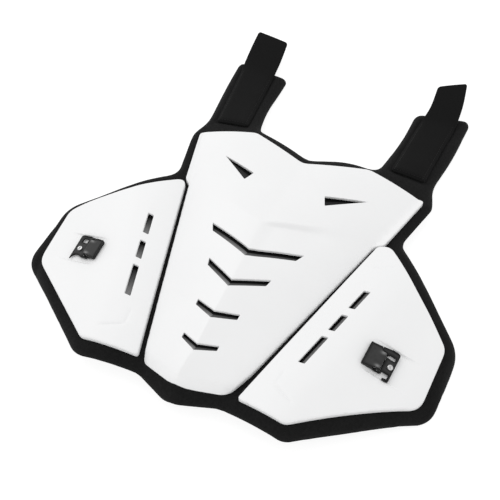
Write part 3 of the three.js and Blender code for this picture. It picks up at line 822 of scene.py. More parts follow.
# Parts of the cover that don't swell: where the channel is deeper than this share, and the underside
# further in than this share of the roll
HELD_CHANNEL = 0.2
HELD_UNDER = 0.4
# The swelling cloth: frames, most that a point moves, what counts as no move, and what the simulation is
# given
SWELL_FRAMES = 20
SWELL_MOST = 1.8
NO_MOVE = 1e-9
SWELL_CLOTH = {
    "vertex_group_mass": "held", "use_pressure": True, "uniform_pressure_force": 4.0, "mass": 0.02,
    "tension_stiffness": 1.5, "compression_stiffness": 1.5, "shear_stiffness": 0.75}


def swollen(piece, held):
    """Lets the cover of a padded piece swell: cloth with pressure inside and no weight, pinned where it
    is held. The moved points go back into the mesh, none further than the set most from where it was."""
    mesh, scene = piece.data, bpy.context.scene
    start = np.zeros(len(mesh.vertices) * 3, np.float32)
    mesh.vertices.foreach_get("co", start)
    pins = piece.vertex_groups.new(name="held")
    pins.add(np.flatnonzero(held).tolist(), 1.0, "REPLACE")
    cloth = piece.modifiers.new("swell", "CLOTH")
    for key, value in SWELL_CLOTH.items():
        setattr(cloth.settings, key, value)
    cloth.settings.effector_weights.gravity = 0
    cloth.collision_settings.use_collision = False
    cloth.point_cache.frame_start, cloth.point_cache.frame_end = 1, SWELL_FRAMES
    for step in range(1, SWELL_FRAMES + 1):
        scene.frame_set(step)
    end = np.zeros_like(start)
    piece.evaluated_get(bpy.context.evaluated_depsgraph_get()).data.vertices.foreach_get("co", end)
    move = (end - start).reshape(-1, 3)
    far = np.linalg.norm(move, axis=1)
    move *= (np.minimum(far, SWELL_MOST * MM) / np.maximum(far, NO_MOVE))[:, None]
    piece.modifiers.remove(cloth)
    piece.vertex_groups.remove(pins)
    scene.frame_set(1)
    mesh.vertices.foreach_set("co", start + move.ravel())
    mesh.update()


def padded_liner(material):
    """Foam in a knit cover: top and underside meet along the outline in an elliptic roll, and the straps
    press a channel into the pads. The cover then swells between the plates' edges, the straps and the
    outline."""
    straps = [strap_ring(row) for row in SHOULDERS.values()]
    rings = [beside(ring, gap) for ring in straps for gap in BESIDE_STRAP]
    outline = rounded(liner_outline(), LINER_STEP)
    plan = Plan(outline, (), FOAM_ROLL * (1 - np.cos(ROLL_TURNS)), (), LINER_SPACING, rings)
    base = foam_base(*plan.points.T)
    roll = (1 - (1 - np.clip(plan.to_outline / FOAM_ROLL, 0, 1)) ** 2) ** ROLL_POWER
    middle = base + FOAM_THICK * FOAM_EDGE
    pressed = channel(plan.points)
    top = middle + FOAM_THICK * (1 - FOAM_EDGE) * roll - pressed * roll ** 2
    low = middle - FOAM_THICK * FOAM_EDGE * roll
    points, faces, used = plan.pillow(top, low)
    piece = add_piece("padded_liner", row_frame(points), faces, material, sharp=SOFT_SHARP)
    covered = pressed > HELD_CHANNEL * CHANNEL_DEPTH
    plates = [center_outline(), *(in_place(name, corners) for name, corners in WINGS.items())]
    for ring in [*straps, *(rounded(corners, LINER_STEP) for corners in plates)]:
        covered |= within(plan.points, ring)
    flat = plan.to_outline > HELD_UNDER * FOAM_ROLL
    swollen(piece, np.r_[covered, covered | flat][used])
    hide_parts("foam_liner", "shoulder_pad_left", "shoulder_pad_right")
    return piece


# Straps: where the tongue rises off the pad, its slope and how softly that sets in; radius of the
# corners, rise of the middle, and how much of the edge's round the ends have
TONGUE_FROM = 150.0
TONGUE_SLOPE = 0.19
TONGUE_SOFT = 8.0
STRAP_CORNER = 4.0
STRAP_CROWN = 0.35
STRAP_END = 0.9
# Rows near a strap's end, rows between, and points on each flat run and half round of its section
END_ROWS = np.array((0, 0.1, 0.35, 0.8, 1.4, 2.1, 3.0, STRAP_CORNER))
BETWEEN_ROWS = 90
FLAT_POINTS = 21
ROUND_POINTS = 7


def strap_base(points):
    """Underside of a strap: on the pad and in its channel, and rising past the pad's end."""
    past = points[:, 1] - TONGUE_FROM
    lift = TONGUE_SLOPE * 0.5 * (past + np.hypot(past, TONGUE_SOFT))
    return foam_base(*points.T) + FOAM_THICK + GAP + lift - channel(points)


def strap_length(row):
    """Mean length of a strap's two edges."""
    edges = (np.array(row[key]) for key in ("inner", "outer"))
    return 0.5 * sum(np.linalg.norm(np.diff(edge, axis=0), axis=1).sum() for edge in edges)


def strap_lines(row, place):
    """Center line of a strap at places along it, the direction across it, and half its width."""
    share = place / strap_length(row)
    inner, outer = smooth_path(row["inner"], share), smooth_path(row["outer"], share)
    half = (outer - inner) / 2
    width = np.linalg.norm(half, axis=1)
    return (inner + outer) / 2, half / width[:, None], width


def strap_section(across, up):
    """Closed stadium section of a strap: two flat runs and two half rounds. across: half width, up: half
    thickness."""
    flat, level = np.linspace(-1, 1, FLAT_POINTS), np.ones(FLAT_POINTS)
    turn, end = np.radians(np.linspace(90, -90, ROUND_POINTS + 2)[1:-1]), np.ones(ROUND_POINTS)
    shares = np.r_[flat, end, flat[::-1], -end]
    outward = np.r_[0 * level, np.cos(turn), 0 * level, -np.cos(turn)]
    height = np.r_[level, np.sin(turn), -level, -np.sin(turn)]
    return shares * (across - up) + outward * up, height * up, shares


def shoulder_strap(name, material):
    """A flat strap: its section carried along a path between the inner and outer edge, with round
    corners."""
    row = SHOULDERS[name]
    length = strap_length(row)
    between = np.linspace(STRAP_CORNER, length - STRAP_CORNER, BETWEEN_ROWS)[1:-1]
    place = np.r_[END_ROWS, between, length - END_ROWS[::-1]]
    center, unit, width = strap_lines(row, place)
    from_end = np.minimum(place, length - place)
    width = width - rounding(from_end, STRAP_CORNER)
    up = STRAP_THICK / 2 - rounding(from_end, STRAP_THICK / 2) * STRAP_END
    across, height, shares = strap_section(width[:, None], up[:, None])
    plan = (center[:, None] + unit[:, None] * across[..., None]) * (row["side"], 1)
    crown = STRAP_CROWN * (1 - shares ** 2) * np.sign(height).clip(0)
    z = strap_base(plan.reshape(-1, 2)).reshape(height.shape) + STRAP_THICK / 2 + height + crown
    rows, columns = z.shape
    points = np.concatenate([plan, z[..., None]], -1).reshape(-1, 3)
    i, j = np.meshgrid(np.arange(rows - 1), np.arange(columns), indexing="ij")
    a, b = i * columns + j, i * columns + (j + 1) % columns
    sides = np.stack([a, b, b + columns, a + columns], -1).reshape(-1, 4)
    caps = np.stack([np.arange(columns)[::-1], np.arange(columns) + (rows - 1) * columns])
    if row["side"] < 0:
        sides, caps = sides[:, ::-1], caps[:, ::-1]
    points, faces = row_frame(points), [sides, caps]
    piece = add_piece(f"strap_{name}", points, faces, material, sharp=SOFT_SHARP)
    uv = np.stack(np.broadcast_arrays(across, place[:, None]), -1).reshape(-1, 2) * MM
    corners = np.zeros(len(piece.data.loops), np.int32)
    piece.data.loops.foreach_get("vertex_index", corners)
    piece.data.uv_layers.new(name="strap").data.foreach_set("uv", uv[corners].ravel())
    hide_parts(f"shoulder_strap_{name}")
    return piece


# Stitches: distance from the strap's edge and from each other, where the rows end, half a bead's width,
# height and length, how deep it sits, its rings and columns, and least angle of a sharp fold
STITCH_INSET = 3.4
STITCH_PITCH = 3.4
STITCH_UNTIL = 100.0
STITCH_SIZE = (0.42, 0.34, 1.25)
STITCH_SINK = 0.05
STITCH_RINGS = 3
STITCH_COLUMNS = 6
STITCH_SHARP = 80


def turned(profile, columns):
    """Points and faces of a profile of (radius, height) turned about its axis. The profile goes upward,
    and its first and last point are poles: a fan goes round each, and quads between the rings."""
    profile = np.array(profile, float)
    turn = np.arange(columns) * 2 * math.pi / columns
    radius, height = profile[1:-1, :1], profile[1:-1, 1:]
    rings = np.stack(np.broadcast_arrays(radius * np.cos(turn), radius * np.sin(turn), height), -1)
    points = np.concatenate([[(0, 0, profile[0, 1])], rings.reshape(-1, 3), [(0, 0, profile[-1, 1])]])
    here = np.arange(columns)
    after = (here + 1) % columns
    last = 1 + (len(rings) - 1) * columns
    tip = np.full(columns, len(points) - 1)
    fans = np.concatenate([np.c_[0 * here, 1 + after, 1 + here], np.c_[last + here, last + after, tip]])
    level = columns * np.arange(len(rings) - 1)[:, None]
    a, b = 1 + here + level, 1 + after + level
    return points, [fans, np.stack([a, b, b + columns, a + columns], -1).reshape(-1, 4)]


def strap_stitches(name, material):
    """Thread along the sewn end of a strap: one row of long beads down each edge and across the end, each
    bead on the strap's upper face and turned along its row."""
    row = SHOULDERS[name]
    _, _, width = strap_lines(row, np.array([STITCH_INSET]))
    edge = float(width[0]) - STITCH_INSET
    run = np.arange(STITCH_INSET, STITCH_UNTIL, STITCH_PITCH)
    end = np.arange(-edge, edge, STITCH_PITCH)[1:]
    place = np.r_[run, run, np.full(len(end), STITCH_INSET)]
    share = np.r_[np.ones(len(run)), -np.ones(len(run)), end / edge]
    center, unit, width = strap_lines(row, place)
    inside = width - STITCH_INSET
    plan = (center + unit * (share * inside)[:, None]) * (row["side"], 1)
    down = np.arange(len(place))[:, None] < 2 * len(run)
    ahead = np.where(down, np.c_[-unit[:, 1], unit[:, 0]], unit) * (row["side"], 1)
    crown = STRAP_CROWN * (1 - (share * inside / width) ** 2)
    z = strap_base(plan) + STRAP_THICK + crown - STITCH_SINK
    slope = (strap_base(plan + ahead) - strap_base(plan - ahead)) / 2
    along = np.c_[ahead, slope] / np.hypot(1, slope)[:, None]
    beside_row = np.c_[-ahead[:, 1], ahead[:, 0], np.zeros(len(ahead))]
    above = np.cross(along, beside_row)
    tilt = np.linspace(math.pi, 0, STITCH_RINGS + 2)
    ball, blocks = turned(np.c_[np.sin(tilt), np.cos(tilt)], STITCH_COLUMNS)
    axes = np.stack([beside_row, above, along], 1)
    points = row_frame((np.c_[plan, z][:, None] + (ball * STITCH_SIZE) @ axes).reshape(-1, 3))
    steps = np.arange(len(plan))[:, None, None] * len(ball)
    faces = [(block + steps).reshape(-1, block.shape[1]) for block in blocks]
    return add_piece(f"strap_stitches_{name}", points, faces, material, sharp=STITCH_SHARP)


# Buckles

def on_wing(points, name):
    """Points in a buckle's own frame to metres in the row frame."""
    row = BUCKLES[name]
    along, up = np.array(row["along"]), np.array(row["up"])
    return (np.array(row["seat"]) + np.asarray(points) @ np.array([np.cross(along, up), along, up])) * MM


def turned_about_pin(points, degrees):
    """Points turned about the hinge line, so that what lies inward goes down."""
    u, v, n = np.moveaxis(np.asarray(points, float) - (PIN["u"], 0, PIN["n"]), -1, 0)
    cos, sin = math.cos(math.radians(degrees)), math.sin(math.radians(degrees))
    return np.stack([PIN["u"] + u * cos - n * sin, v, PIN["n"] + u * sin + n * cos], -1)


# Meshes of the bracket: steps along its outlines and along the window, points beside outline, window and
# walls, spacing of the points between, and points on an ear's crown
BRACKET_STEP = 0.8
WINDOW_STEP = 0.7
BESIDE_BRACKET = (0.12, 0.3, 0.55)
BESIDE_WINDOW = (0.12, 0.35)
BESIDE_WALL = (0.1, 0.25, 0.5)
BRACKET_SPACING = 1.2
CROWN_POINTS = 15


def lever_bracket(name, material):
    """Pressed bracket: a floor with round edges, a raised bead round its border, two arms, one closed and
    one open window, a low side wall, and an ear with a round crown on each arm. Each part is a closed
    wall over its own plan."""
    b, row = BRACKET, BUCKLES[name]
    hand = row["side"]
    end = b["outer"] + row["slide"]
    neck_arm, waist_arm = (row["pivot"] * hand + way * (EAR["outer"] - EAR["thick"]) for way in (1, -1))
    corners = [
        *BRACKET_WAIST[name], (end, b["neck_side"], 2.6), (b["bend"], b["neck_side"], 2),
        (b["arm"], b["neck_side"] - b["arm_in"], 0.7), (b["arm"], neck_arm, 0.7),
        (b["inner"], neck_arm, 0.6), (b["inner"], waist_arm, 0.6), (b["arm"], waist_arm, 0.7)]
    hole = [(u, v, WINDOW_CORNER) for u, v in WINDOWS[name]]
    corners, hole = ([(u, hand * v, cut) for u, v, cut in ring] for ring in (corners, hole))
    corners, hole = rounded(corners, BRACKET_STEP), rounded(hole, WINDOW_STEP)
    floor = Plan(corners, [hole], BESIDE_BRACKET, BESIDE_WINDOW, BRACKET_SPACING)
    bead = BEAD["rise"] * np.exp(-((floor.to_outline - BEAD["in"]) / BEAD["half"]) ** 2)
    drop = np.maximum(rounding(floor.to_outline, b["edge"]), rounding(floor.to_holes, b["hole_edge"]))
    points, blocks = floor.shell(b["top"] + bead - drop, np.full(len(floor.points), b["low"]))
    edge = np.minimum(floor.to_outline, floor.to_holes)
    parts, edges = [points], [edge, edge + b["under_wear"]]
    turn = np.radians(np.linspace(0, 180, CROWN_POINTS))
    arch = [(PIN["u"] + EAR["crown"] * np.cos(t), PIN["n"] + EAR["crown"] * np.sin(t), 0) for t in turn]
    cheek = [(EAR["inner"], b["low"], 0), (EAR["reach"], b["low"], 0), (EAR["reach"], b["top"], 0.5), *arch]
    stop = end - b["wall_in"]
    fence = [
        (b["bend"], b["low"], 0), (stop, b["low"], 0), (stop, b["wall_top"], 1),
        (b["bend"], b["wall_top"], 1)]
    walls = [
        (cheek, row["pivot"] + EAR["outer"], EAR["thick"]),
        (cheek, row["pivot"] + EAR["thick"] - EAR["outer"], EAR["thick"]),
        (fence, b["neck_side"] if hand > 0 else b["wall"] - b["neck_side"], b["wall"])]
    for shape, outer, thick in walls:
        wall = Plan(rounded(shape, BRACKET_STEP), (), BESIDE_WALL, (), BRACKET_SPACING)
        drop = rounding(wall.to_outline, b["wall_edge"])
        points, faces = wall.shell(outer - drop, outer - thick + drop)
        start = sum(map(len, parts))
        parts.append(points[:, [0, 2, 1]])
        blocks = blocks + [block[:, ::-1] + start for block in faces]
        edges += [wall.to_outline, wall.to_outline]
    points, edge = on_wing(np.concatenate(parts), name), np.concatenate(edges)
    piece = add_piece(f"lever_bracket_{name}", points, blocks, material, edge=edge)
    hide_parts(f"buckle_base_{name}")
    return piece


# The lever's grid: places along the hinge and from the free end to the pin as shares, and turns round the
# pin
LEVER_ACROSS = np.sin(np.radians(np.linspace(-90, 90, 45)))
LEVER_ALONG = np.r_[0, 0.004, 0.012, 0.03, 0.06, 0.09, np.linspace(0.12, 1, 28)][:, None]
CURL = np.radians(np.linspace(90, LEVER["curl_to"], 24)[1:])[:, None]


def lever_plate(name, material):
    """Pressed lever: a strip with a raised border, round corners and a turned-down skirt that ends a
    little above the wing, narrower between the ears, where it curls round the pin. Rows go along the
    strip and columns along the hinge; the upper and the lower face are each a grid, and a wall joins
    them."""
    row = BUCKLES[name]
    g = dict(LEVER, half=row["half"], free=LEVER["free"] + row["slide"])
    side = 1 - np.abs(LEVER_ACROSS)
    free = g["free"] + rounding(g["half"] * side, g["corner"])
    u = free + (PIN["u"] - free) * LEVER_ALONG
    half = g["half"] + (g["neck"] - g["half"]) * smooth_step(u, g["root"] - g["narrowing"], g["root"])
    to_edge = np.minimum(u - free, half * side)
    lip = g["lip"] * (1 - smooth_step(u - g["free"], 0, g["lip_run"]))
    border = g["border"] * (1 - smooth_step(to_edge, *g["border_in"]))
    border = border * (1 - smooth_step(u, *g["border_to"]))
    drop = rounding(to_edge, g["edge"])
    top = g["top"] + lip + border - drop
    low = g["under"] + lip + g["under_round"] * drop
    narrow = g["neck"] * side
    spare = (g["top"] - PIN["n"] - g["barrel"]) * smooth_step(CURL, 0, math.pi / 2)
    outer = g["barrel"] + spare - rounding(narrow, g["barrel_edge"])
    inner = np.full_like(outer, PIN["radius"] + g["bore"])
    offset = (row["middle"] - row["pivot"]) * (half - g["neck"]) / (g["half"] - g["neck"])
    wide = half * LEVER_ACROSS + row["pivot"] + offset
    barrel = row["pivot"] + g["neck"] * LEVER_ACROSS

    def grid(flat, radius):
        """One face of the lever: the strip at its heights and the curl at its radius."""
        curl = (PIN["u"] + radius * np.cos(CURL), barrel, PIN["n"] + radius * np.sin(CURL))
        parts = ((u, wide, flat), curl)
        return np.concatenate([np.stack(np.broadcast_arrays(*part), -1) for part in parts])

    over, under = grid(top, outer), grid(low, inner)
    rows, columns, _ = over.shape
    # Painted highlights beside the ears, stored as painted light on the upper face only.
    beside_ear = np.abs(np.abs(over[..., 1] - row["pivot"]) - PAINTED_HIGHLIGHT["v"])
    painted_highlight = ((over[..., 0] - PAINTED_HIGHLIGHT["u"]) / PAINTED_HIGHLIGHT["long"]) ** 2 + (beside_ear / PAINTED_HIGHLIGHT["wide"]) ** 2
    painted_highlight = np.exp(-painted_highlight).ravel()
    over, under = (turned_about_pin(part, g["slope"]) for part in (over, under))
    level = on_wing(under * (1, 1, 0), name) / MM - (0, NECK_Y, 0)
    wing = (face(level[..., 0], level[..., 1]) - level[..., 2]) * row["up"][2]
    skirt = np.zeros(under.shape[:2], bool)
    skirt[:len(u)] = (to_edge < g["skirt"]) & (u < BRACKET["arm"] - g["arm_gap"])
    under[..., 2] = np.where(skirt, np.minimum(under[..., 2], wing + g["clear"]), under[..., 2])
    points = on_wing(np.concatenate([over.reshape(-1, 3), under.reshape(-1, 3)]), name)
    edge = np.concatenate([to_edge, np.broadcast_to(narrow, outer.shape)]).ravel()
    piece = add_piece(
        f"lever_plate_{name}", points, [slab(rows, columns)[:, ::-1]], material,
        body=f"lever_{name}", edge=np.r_[edge, edge + g["under_wear"]], painted_light=np.r_[painted_highlight, 0 * painted_highlight])
    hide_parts(f"buckle_lever_{name}")
    return piece


# Columns of round pieces, and turns of the rivet's round head
ROUND_COLUMNS = 40
HEAD_TURNS = np.radians(np.linspace(*RIVET["round"], 16))


def round_piece(name, node_name, profile, axes, place, side, material):
    """A turned piece on one side's buckle. axes: the buckle's directions that the turned x, y and axis
    take."""
    points, faces = turned(profile, ROUND_COLUMNS)
    points = on_wing(points @ np.array(axes, float) + place, side)
    piece = add_piece(name, points, faces, material)
    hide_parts(node_name)
    return piece


def dome_rivet(name, material):
    """Tubular rivet: a shank, a round head and a dimple in its middle."""
    r = RIVET
    under = BRACKET["top"] + GAP
    ridge = r["head"] * r["ridge"]
    out, up = ridge + (r["head"] - ridge) * np.cos(HEAD_TURNS), 0.5 + 0.5 * np.sin(HEAD_TURNS)
    bulge = np.c_[out, under + r["dome"] * up]
    profile = [
        (0, -r["tail"]), (r["shank"] - r["chamfer"], -r["tail"]), (r["shank"], r["chamfer"] - r["tail"]),
        (r["shank"], under), (r["head"] * r["foot"], under), *bulge, (r["dimple"], under + r["dimple_rim"]),
        (0, under + r["dimple_floor"])]
    axes, place = np.eye(3), (*BUCKLES[name]["rivet"], 0)
    return round_piece(f"dome_rivet_{name}", f"buckle_rivet_{name}", profile, axes, place, name, material)


def hinge_pin(name, material):
    """Hinge pin with rounded, slightly upset ends."""
    radius = PIN["radius"]
    end = [(radius * share, PIN["half"] + past) for share, past in PIN_END]
    profile = [(r, -h) for r, h in end] + [(radius, 0)] + end[::-1]
    axes = [(0, 0, 1), (1, 0, 0), (0, 1, 0)]
    place = (PIN["u"], BUCKLES[name]["pivot"], PIN["n"])
    return round_piece(f"hinge_pin_{name}", f"buckle_pin_{name}", profile, axes, place, name, material)


# Materials

def place_node(tree, kind, inputs=None, **settings):
    """A shader node with its settings, and each named input set to a value or joined to a socket."""
    made = tree.nodes.new(kind)
    for key, value in settings.items():
        setattr(made, key, value)
    for key, value in (inputs or {}).items():
        if isinstance(value, bpy.types.NodeSocket):
            tree.links.new(value, made.inputs[key])
        else:
            made.inputs[key].default_value = value
    return made


def figure(tree, operation, *values, clamp=False):
    """The result of one arithmetic node."""
    inputs = dict(enumerate(values))
    return place_node(tree, "ShaderNodeMath", inputs, operation=operation, use_clamp=clamp).outputs[0]


def blended(tree, share, first, second):
    """The result of mixing two colours."""
    mix = place_node(tree, "ShaderNodeMix", {0: share, 6: first, 7: second}, data_type="RGBA")
    return mix.outputs[2]


def noise(tree, place, scale, detail):
    """Noise from 0 to 1."""
    inputs = {"Vector": place, "Scale": scale, "Detail": detail}
    return place_node(tree, "ShaderNodeTexNoise", inputs).outputs[0]


def stored(tree, name):
    """A number that the mesh carries at its points."""
    return place_node(tree, "ShaderNodeAttribute", attribute_name=name).outputs["Fac"]


def effect_group(name, inputs, outputs):
    """An empty shader group with a vector input for the place, named number inputs with their defaults,
    and named number outputs."""
    group = bpy.data.node_groups.new(name, "ShaderNodeTree")
    group.interface.new_socket("Place", in_out="INPUT", socket_type="NodeSocketVector")
    for label, default in inputs.items():
        socket = group.interface.new_socket(label, in_out="INPUT", socket_type="NodeSocketFloat")
        socket.default_value = default
    for label in outputs:
        group.interface.new_socket(label, in_out="OUTPUT", socket_type="NodeSocketFloat")
    enter = group.nodes.new("NodeGroupInput")
    leave = group.nodes.new("NodeGroupOutput")
    return group, enter.outputs, leave.inputs


# Detail of fine and of broad noise and of uneven yarn, size of that yarn as a share of the weave's, and
# how worn patches are cut out of noise: factor and rest
FINE_DETAIL = 2.0
BROAD_DETAIL = 4.0
YARN_DETAIL = 3.0
YARN_SHARE = 0.6
WORN_CUT = (4.0, -1.8)


def grain_group():
    """Moulded or painted surface: fine grain as height, and broad uneven patches from 0 to 1."""
    inputs = {"Fine": 1500.0, "Broad": 18.0}
    group, given, result = effect_group("surface_grain", inputs, ["Height", "Patches"])
    group.links.new(noise(group, given["Place"], given["Fine"], FINE_DETAIL), result["Height"])
    group.links.new(noise(group, given["Place"], given["Broad"], BROAD_DETAIL), result["Patches"])
    return group


def weave_group():
    """Threads in two directions: height is one half plus half the product of two waves, the second
    shifted by the first as knit loops are, and uneven yarn from 0 to 1."""
    inputs = {"Pitch": 700.0, "Loop": 0.6}
    group, given, result = effect_group("thread_weave", inputs, ["Height", "Yarn"])
    x, y, _ = place_node(group, "ShaderNodeSeparateXYZ", {0: given["Place"]}).outputs
    turn = figure(group, "MULTIPLY", given["Pitch"], 2 * math.pi)
    first = figure(group, "SINE", figure(group, "MULTIPLY", x, turn))
    shifted = figure(group, "MULTIPLY_ADD", first, given["Loop"], figure(group, "MULTIPLY", y, turn))
    product = figure(group, "MULTIPLY", first, figure(group, "SINE", shifted))
    group.links.new(figure(group, "MULTIPLY_ADD", product, 0.5, 0.5), result["Height"])
    scale = figure(group, "MULTIPLY", given["Pitch"], YARN_SHARE)
    group.links.new(noise(group, given["Place"], scale, YARN_DETAIL), result["Yarn"])
    return group


def wear_group():
    """Rubbing near edges, from 0 to 1: falls off with the distance to the edge and is broken up by
    noise."""
    inputs = {"Edge": 10.0, "Reach": 1.5, "Breakup": 240.0}
    group, given, result = effect_group("edge_wear", inputs, ["Mask"])
    away = figure(group, "DIVIDE", given["Edge"], given["Reach"])
    near = figure(group, "SUBTRACT", 1.0, away, clamp=True)
    broken = noise(group, given["Place"], given["Breakup"], BROAD_DETAIL)
    patchy = figure(group, "MULTIPLY_ADD", broken, *WORN_CUT, clamp=True)
    group.links.new(figure(group, "MULTIPLY", near, patchy), result["Mask"])
    return group


def new_material(name, **constants):
    """A material with its Principled shader and its constant values set on the shader's own sockets."""
    material = bpy.data.materials.new(name)
    material.use_nodes = True
    tree = material.node_tree
    shader = tree.nodes["Principled BSDF"]
    for key, value in constants.items():
        shader.inputs[key.replace("_", " ")].default_value = value
    place = tree.nodes.new("ShaderNodeTexCoord").outputs["Object"]
    return material, tree, shader, place


def use_group(tree, group, **inputs):
    """The outputs of a shared effect placed in a material."""
    return place_node(tree, "ShaderNodeGroup", inputs, node_tree=group).outputs


def dress(tree, shader, color, rough, bump):
    """Joins a colour, a roughness and a bump to a shader. rough: a value, its factor and the rest. bump:
    a height, its strength and its depth."""
    value, factor, rest = rough
    height, strength, depth = bump
    bump = place_node(tree, "ShaderNodeBump", {"Height": height, "Strength": strength, "Distance": depth})
    tree.links.new(color, shader.inputs["Base Color"])
    tree.links.new(figure(tree, "MULTIPLY_ADD", value, factor, rest), shader.inputs["Roughness"])
    tree.links.new(bump.outputs[0], shader.inputs["Normal"])


def gray(level):
    """An opaque gray."""
    return (level, level, level, 1)


GRAIN = grain_group()
WEAVE = weave_group()
WEAR = wear_group()


def white_plastic():
    """Satin white moulding: faint uneven tone and gloss, fine grain, and slightly grayed edges."""
    material, tree, shader, place = new_material("white_plastic", IOR=1.49)
    grain = use_group(tree, GRAIN, Place=place, Fine=1400.0, Broad=14.0)
    wear = use_group(tree, WEAR, Place=place, Edge=stored(tree, "edge_mm"), Reach=1.4, Breakup=160.0)
    tone = blended(tree, grain["Patches"], (0.84, 0.842, 0.845, 1), (0.885, 0.887, 0.89, 1))
    worn = blended(tree, figure(tree, "MULTIPLY", wear["Mask"], 0.35), tone, gray(0.62))
    dress(tree, shader, worn, (grain["Patches"], 0.16, 0.36), (grain["Height"], 0.25, 0.0001))
    return material


def woven_cover(cloth, weave, grain, along=None):
    """Black cloth: threads and fuzz as bump, and lighter yarn and lint in places. cloth: name, lint as
    factor and rest of the patches in the yarn's share, the lighter gray, rough as factor and rest, bump as
    share of the fuzz, strength and depth, and the shader's constants. weave and grain: what the two effects
    are given. along: the UV map that the threads follow, or none."""
    material, tree, shader, place = new_material(cloth["name"], **cloth["constants"])
    threads = place_node(tree, "ShaderNodeUVMap", uv_map=along).outputs[0] if along else place
    weave = use_group(tree, WEAVE, Place=threads, **weave)
    grain = use_group(tree, GRAIN, Place=place, **grain)
    patches = figure(tree, "MULTIPLY_ADD", grain["Patches"], *cloth["lint"])
    share = figure(tree, "MULTIPLY", weave["Yarn"], patches)
    fuzz, strength, depth = cloth["bump"]
    height = figure(tree, "MULTIPLY_ADD", grain["Height"], fuzz, weave["Height"])
    color = blended(tree, share, gray(0.003), gray(cloth["light"]))
    dress(tree, shader, color, (grain["Height"], *cloth["rough"]), (height, strength, depth))
    return material


def padded_knit():
    """Matt black knit over foam, with wide loops."""
    cloth = {
        "name": "padded_knit", "lint": (0.8, 0.3), "light": 0.016, "rough": (0.15, 0.82),
        "bump": (0.6, 0.5, 0.0004),
        "constants": {"Sheen_Weight": 0.02, "Sheen_Roughness": 0.5, "Specular_IOR_Level": 0.12}}
    return woven_cover(cloth, {"Pitch": 620.0, "Loop": 0.9}, {"Fine": 420.0, "Broad": 30.0})


def strap_fabric():
    """Hook-and-loop strap: a tight weave along the strap, with short fuzzy pile."""
    cloth = {
        "name": "strap_fabric", "lint": (0.5, 0.45), "light": 0.011, "rough": (0.1, 0.85),
        "bump": (0.8, 0.35, 0.0002),
        "constants": {"Sheen_Weight": 0.02, "Sheen_Roughness": 0.6, "Specular_IOR_Level": 0.08}}
    return woven_cover(cloth, {"Pitch": 900.0, "Loop": 0.2}, {"Fine": 1100.0, "Broad": 24.0}, along="strap")


def slot_lining_painted_light():
    """Dark lining behind the slots: a mesh weave whose yarn is lighter by the painted light stored on the
    points, standing for light falling into the slots."""
    material, tree, shader, place = new_material("slot_lining_painted_light", Specular_IOR_Level=0.15)
    weave = use_group(tree, WEAVE, Place=place, Pitch=700.0, Loop=0.4)
    uneven = figure(tree, "MULTIPLY_ADD", weave["Yarn"], 0.3, 0.85)
    # Painted light: the stored lightness lifts the near-black lining towards gray where light falls into the
    # slots.
    color = blended(tree, figure(tree, "MULTIPLY", stored(tree, "painted_light"), uneven), gray(0.004), gray(0.3))
    dress(tree, shader, color, (weave["Yarn"], 0.1, 0.8), (weave["Height"], 0.3, 0.0002))
    return material


def stitch_thread():
    """Black sewing thread: a fine twist along each stitch, a little glossier than the strap."""
    material, tree, shader, place = new_material("stitch_thread", Specular_IOR_Level=0.2)
    weave = use_group(tree, WEAVE, Place=place, Pitch=1500.0, Loop=1.4)
    color = blended(tree, weave["Yarn"], gray(0.003), gray(0.012))
    dress(tree, shader, color, (weave["Yarn"], 0.2, 0.45), (weave["Height"], 0.4, 0.0001))
    return material


def black_buckle():
    """Satin black paint over metal: fine orange peel, a darker border and a paler middle, painted highlights
    beside the ears where the lever's curl catches the light, and a few rubbed places on the edges."""
    material, tree, shader, place = new_material("black_buckle", Specular_IOR_Level=0.22)
    edge = stored(tree, "edge_mm")
    grain = use_group(tree, GRAIN, Place=place, Fine=1800.0, Broad=120.0)
    wear = use_group(tree, WEAR, Place=place, Edge=edge, Reach=0.6, Breakup=900.0)
    # Darker towards the edges, paler in the middle.
    inside = figure(tree, "MULTIPLY_ADD", edge, 0.4, -0.25, clamp=True)
    middle = blended(tree, grain["Patches"], gray(0.012), gray(0.05))
    # Painted highlights: the stored painted light turns the places beside the ears light gray.
    tone = blended(tree, stored(tree, "painted_light"), blended(tree, inside, gray(0.003), middle), gray(0.2))
    color = blended(tree, figure(tree, "MULTIPLY", wear["Mask"], 0.3), tone, gray(0.1))
    dress(tree, shader, color, (grain["Patches"], 0.2, 0.3), (grain["Height"], 0.2, 0.0001))
    return material


def bright_steel():
    """Bright steel with fine scratches and a little tarnish."""
    material, tree, shader, place = new_material("bright_steel", Metallic=1.0)
    grain = use_group(tree, GRAIN, Place=place, Fine=2600.0, Broad=300.0)
    color = blended(tree, grain["Patches"], gray(0.45), gray(0.75))
    dress(tree, shader, color, (grain["Height"], 0.2, 0.12), (grain["Height"], 0.15, 0.0001))
    return material


# Stage

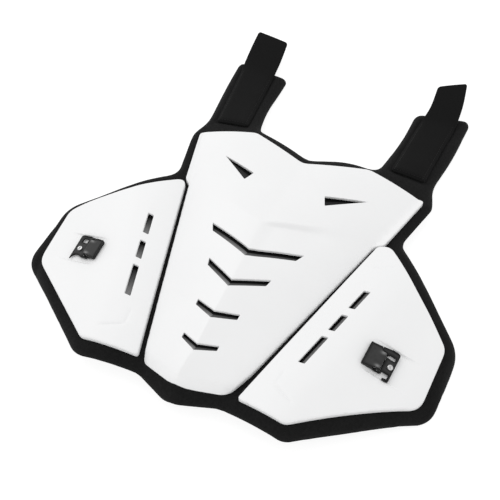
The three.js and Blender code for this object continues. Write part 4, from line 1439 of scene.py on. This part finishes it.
# Strength of the sky, the light's size, power and place, half side of the floor, its gray and its own
# light
SKY = 0.9
LIGHT_SIZE = 1.6
LIGHT_POWER = 7.5
LIGHT_PLACE = (-1.1, 0.5, 1.6)
FLOOR_HALF = 6.0
FLOOR_GRAY = 0.3
FLOOR_LIGHT = 0.84


def make_stage():
    """A wide pale floor, an even white sky and one large soft light from the upper left of the
    photograph."""
    scene = bpy.context.scene
    scene.view_settings.view_transform = "Standard"
    world = bpy.data.worlds.new("studio")
    scene.world = world
    world.use_nodes = True
    sky = world.node_tree.nodes["Background"]
    sky.inputs["Color"].default_value = gray(1.0)
    sky.inputs["Strength"].default_value = SKY
    light = bpy.data.lights.new("soft_key", "AREA")
    light.shape = "DISK"
    light.size = LIGHT_SIZE
    light.energy = LIGHT_POWER
    key = bpy.data.objects.new("soft_key", light)
    scene.collection.objects.link(key)
    key.location = LIGHT_PLACE
    key.rotation_mode = "QUATERNION"
    key.rotation_quaternion = Vector(LIGHT_PLACE).to_track_quat("Z", "Y")
    mesh = bpy.data.meshes.new("floor")
    corners = [(x * FLOOR_HALF, y * FLOOR_HALF, 0) for x, y in ((-1, -1), (1, -1), (1, 1), (-1, 1))]
    mesh.from_pydata(corners, [], [(0, 1, 2, 3)])
    material, *_ = new_material(
        "pale_floor", Roughness=0.9, Base_Color=gray(FLOOR_GRAY), Emission_Color=gray(1.0),
        Emission_Strength=FLOOR_LIGHT)
    mesh.materials.append(material)
    floor = bpy.data.objects.new("floor", mesh)
    scene.collection.objects.link(floor)


make_camera()
make_stage()
WHITE = white_plastic()
KNIT = padded_knit()
STRAP = strap_fabric()
THREAD = stitch_thread()
LINING = slot_lining_painted_light()
BLACK = black_buckle()
STEEL = bright_steel()
padded_liner(KNIT)
center_plate(WHITE)
center_lining(LINING)
for shoulder in SHOULDERS:
    wing_plate(shoulder, WHITE)
    wing_lining(shoulder, LINING)
    shoulder_strap(shoulder, STRAP)
    strap_stitches(shoulder, THREAD)
    lever_bracket(shoulder, BLACK)
    lever_plate(shoulder, BLACK)
    hinge_pin(shoulder, STEEL)
    dome_rivet(shoulder, STEEL)

bpy.context.view_layer.update()
